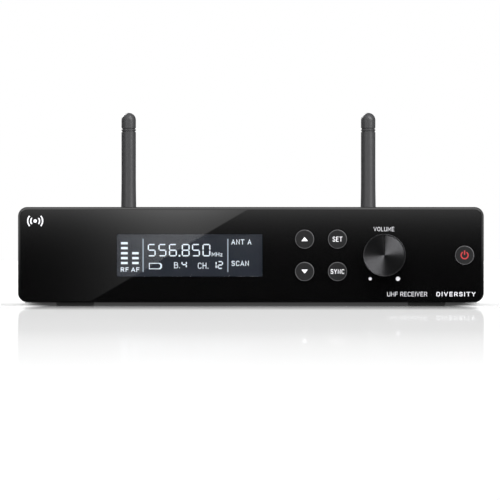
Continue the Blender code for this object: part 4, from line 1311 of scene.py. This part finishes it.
def build_reflection_card():
    """A softbox seen only in gloss: a glow along the panel's top, and a lit wedge left of a diagonal edge."""
    distance = 0.3
    spread = 1 + distance / CAMERA_DISTANCE
    at = (CAMERA_X * (1 - spread), FACE_Y - distance, CAMERA_Z * (1 - spread))
    unseen_by = ("camera", "diffuse", "shadow")
    obj, nodes = card("reflection_card", 202 * MM, 43 * MM, TO_REAR, at, unseen_by)
    # scaled and placed so that its own x and z are those of the panel point that reflects it
    obj.scale = (spread, 1, spread)
    obj.data.transform(Matrix.Translation((0, 0, PANEL_MIDDLE.z)))
    times, calculate = nodes.times, nodes.calculate
    x, _, height = nodes.apart(nodes.place())
    z = calculate("MINIMUM", height, PANEL_HIGH.z)

    def past(value, start, length=1):
        return calculate("DIVIDE", calculate("SUBTRACT", value, start), length)

    def falling_from(top, length):
        return calculate("EXPONENT", past(z, top, length))

    top_glow = times(falling_from(41.5 * MM, 6.5 * MM), 0.87)
    across = past(x, -30.5 * MM, 33.7 * MM)
    wedge_across = calculate("EXPONENT", times(times(across, across), -1))
    wedge_down = calculate("MULTIPLY_ADD", falling_from(39.1 * MM, 13 * MM), 0.65, 0.35)
    # the diagonal edge runs from the lower left to the upper right of the panel
    foot = Vector((-69.7 * MM, 1.5 * MM))
    head = Vector((-1.5 * MM, 41.4 * MM))
    along = (head - foot).normalized()
    rise = times(calculate("SUBTRACT", z, foot.y), along.x)
    run = times(calculate("SUBTRACT", x, foot.x), along.y)
    edge = nodes.slope(calculate("SUBTRACT", rise, run), -0.1 * MM, 0.1 * MM, 0, 1, "LINEAR")
    wedge = times(times(wedge_across, wedge_down), edge)
    glow = nodes.glow(calculate("MULTIPLY_ADD", wedge, 1.45, top_glow))
    # from behind it lets the floor's reflection of the unit through
    behind = nodes.add("NewGeometry").outputs["Backfacing"]
    nodes.end(nodes.mix(behind, glow, nodes.clear()))
    return obj


def build_edge_cards(panel, floor):
    """Bright cards above and beside the unit, which the panel's rolled edges reflect."""
    top, nodes = card("top_card", 1.2, 1.7, UPRIGHT, (0, FACE_Y - 0.8, 0.45), ALL_BUT_GLOSS)
    nodes.end(nodes.glow(TOP_GLOW))
    shine_only_on(top, [panel])
    height = 0.6 - PANEL_LOW.z
    centre = PANEL_LOW.z + height / 2
    for side, sign in SIDES.items():
        at = (sign * 0.7, FACE_Y - 0.45, centre)
        obj, nodes = card(f"side_card_{side}", height, 1.8, TO_SIDE["right"], at, ALL_BUT_GLOSS)
        up = nodes.apart(nodes.place())["Z"]
        # it brightens up to the height of the panel's top
        nodes.end(nodes.glow(nodes.slope(up, PANEL_LOW.z - centre, PANEL_HIGH.z - centre, 0.1, SIDE_GLOW)))
        shine_only_on(obj, [panel, floor])


def build_backdrop(floor):
    """A white wall far behind, which only the floor reflects."""
    obj, nodes = card("backdrop", 8, 2, TO_FRONT, (0, 3, 1), ALL_BUT_GLOSS)
    nodes.end(nodes.glow())
    shine_only_on(obj, [floor])


def build_edge_shade():
    """Painted shade: a dark sheet for the shaded floor under the panel's lower edge, seen only in gloss, in
    place of the floor itself.
    """
    at = (0, FACE_Y + 12 * MM, -0.2 * MM)
    _, nodes = card("edge_shade", PANEL_HIGH.x - PANEL_LOW.x, 30 * MM, UPRIGHT, at, ALL_BUT_GLOSS)
    nodes.end(nodes.add("BsdfDiffuse", Color=(0.01, 0.01, 0.01, 1)).outputs["BSDF"])


def build_painted_shade_card(name, y, opacity):
    """A low dim card across the gap under the unit: painted shade, with a faint glow for the light that seeps
    under it. Its ends fade.
    """
    height = 1.55 * MM
    _, nodes = card(name, 196 * MM, height, TO_FRONT, (0, y, height / 2))
    x, _, up = nodes.apart(nodes.place())
    glow = nodes.glow(nodes.slope(up, 0, height / 2, 0.055, 0.02))
    # the faded ends reach further out at the top
    outward = nodes.calculate("MULTIPLY_ADD", up, -9 * MM / height, nodes.calculate("ABSOLUTE", x))
    fade = nodes.slope(outward, 89 * MM, 101 * MM, opacity, 0)
    nodes.end(nodes.mix(fade, nodes.clear(), glow))


def build_stage():
    build_camera()
    # dim cards in the gap under the unit: painted shade
    build_painted_shade_card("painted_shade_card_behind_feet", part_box("foot_front_left")[1].y + MM, 1.0)
    build_painted_shade_card("painted_shade_card_before_feet", FACE_Y + 3 * MM, 0.35)
    build_edge_shade()
    floor = build_floor()
    build_world()
    build_lights()
    panel = bpy.data.objects["front_panel"]
    shine_only_on(build_reflection_card(), [panel, bpy.data.objects["window_pane"]])
    build_edge_cards(panel, floor)
    build_backdrop(floor)
    bpy.context.scene.view_settings.view_transform = "Standard"
    bpy.context.scene.view_settings.look = "None"


# ---------------------------------------------------------------- everything

build_panel()
build_window()
build_bezel()
build_prints()
build_display()
for button_key in BUTTONS:
    build_button(button_key)
build_knob()
for antenna_side in SIDES:
    build_antenna(antenna_side)
    build_plug(antenna_side)
    build_collar(antenna_side)
    build_socket(antenna_side)
build_xlr()
build_jack()
build_squelch()
build_dc_inlet()
build_cover()
build_case_screws()
build_tray()
for foot_end in ENDS:
    for foot_side in SIDES:
        build_foot(foot_end, foot_side)
dress_inner_nodes()
build_stage()

bpy.context.view_layer.update()
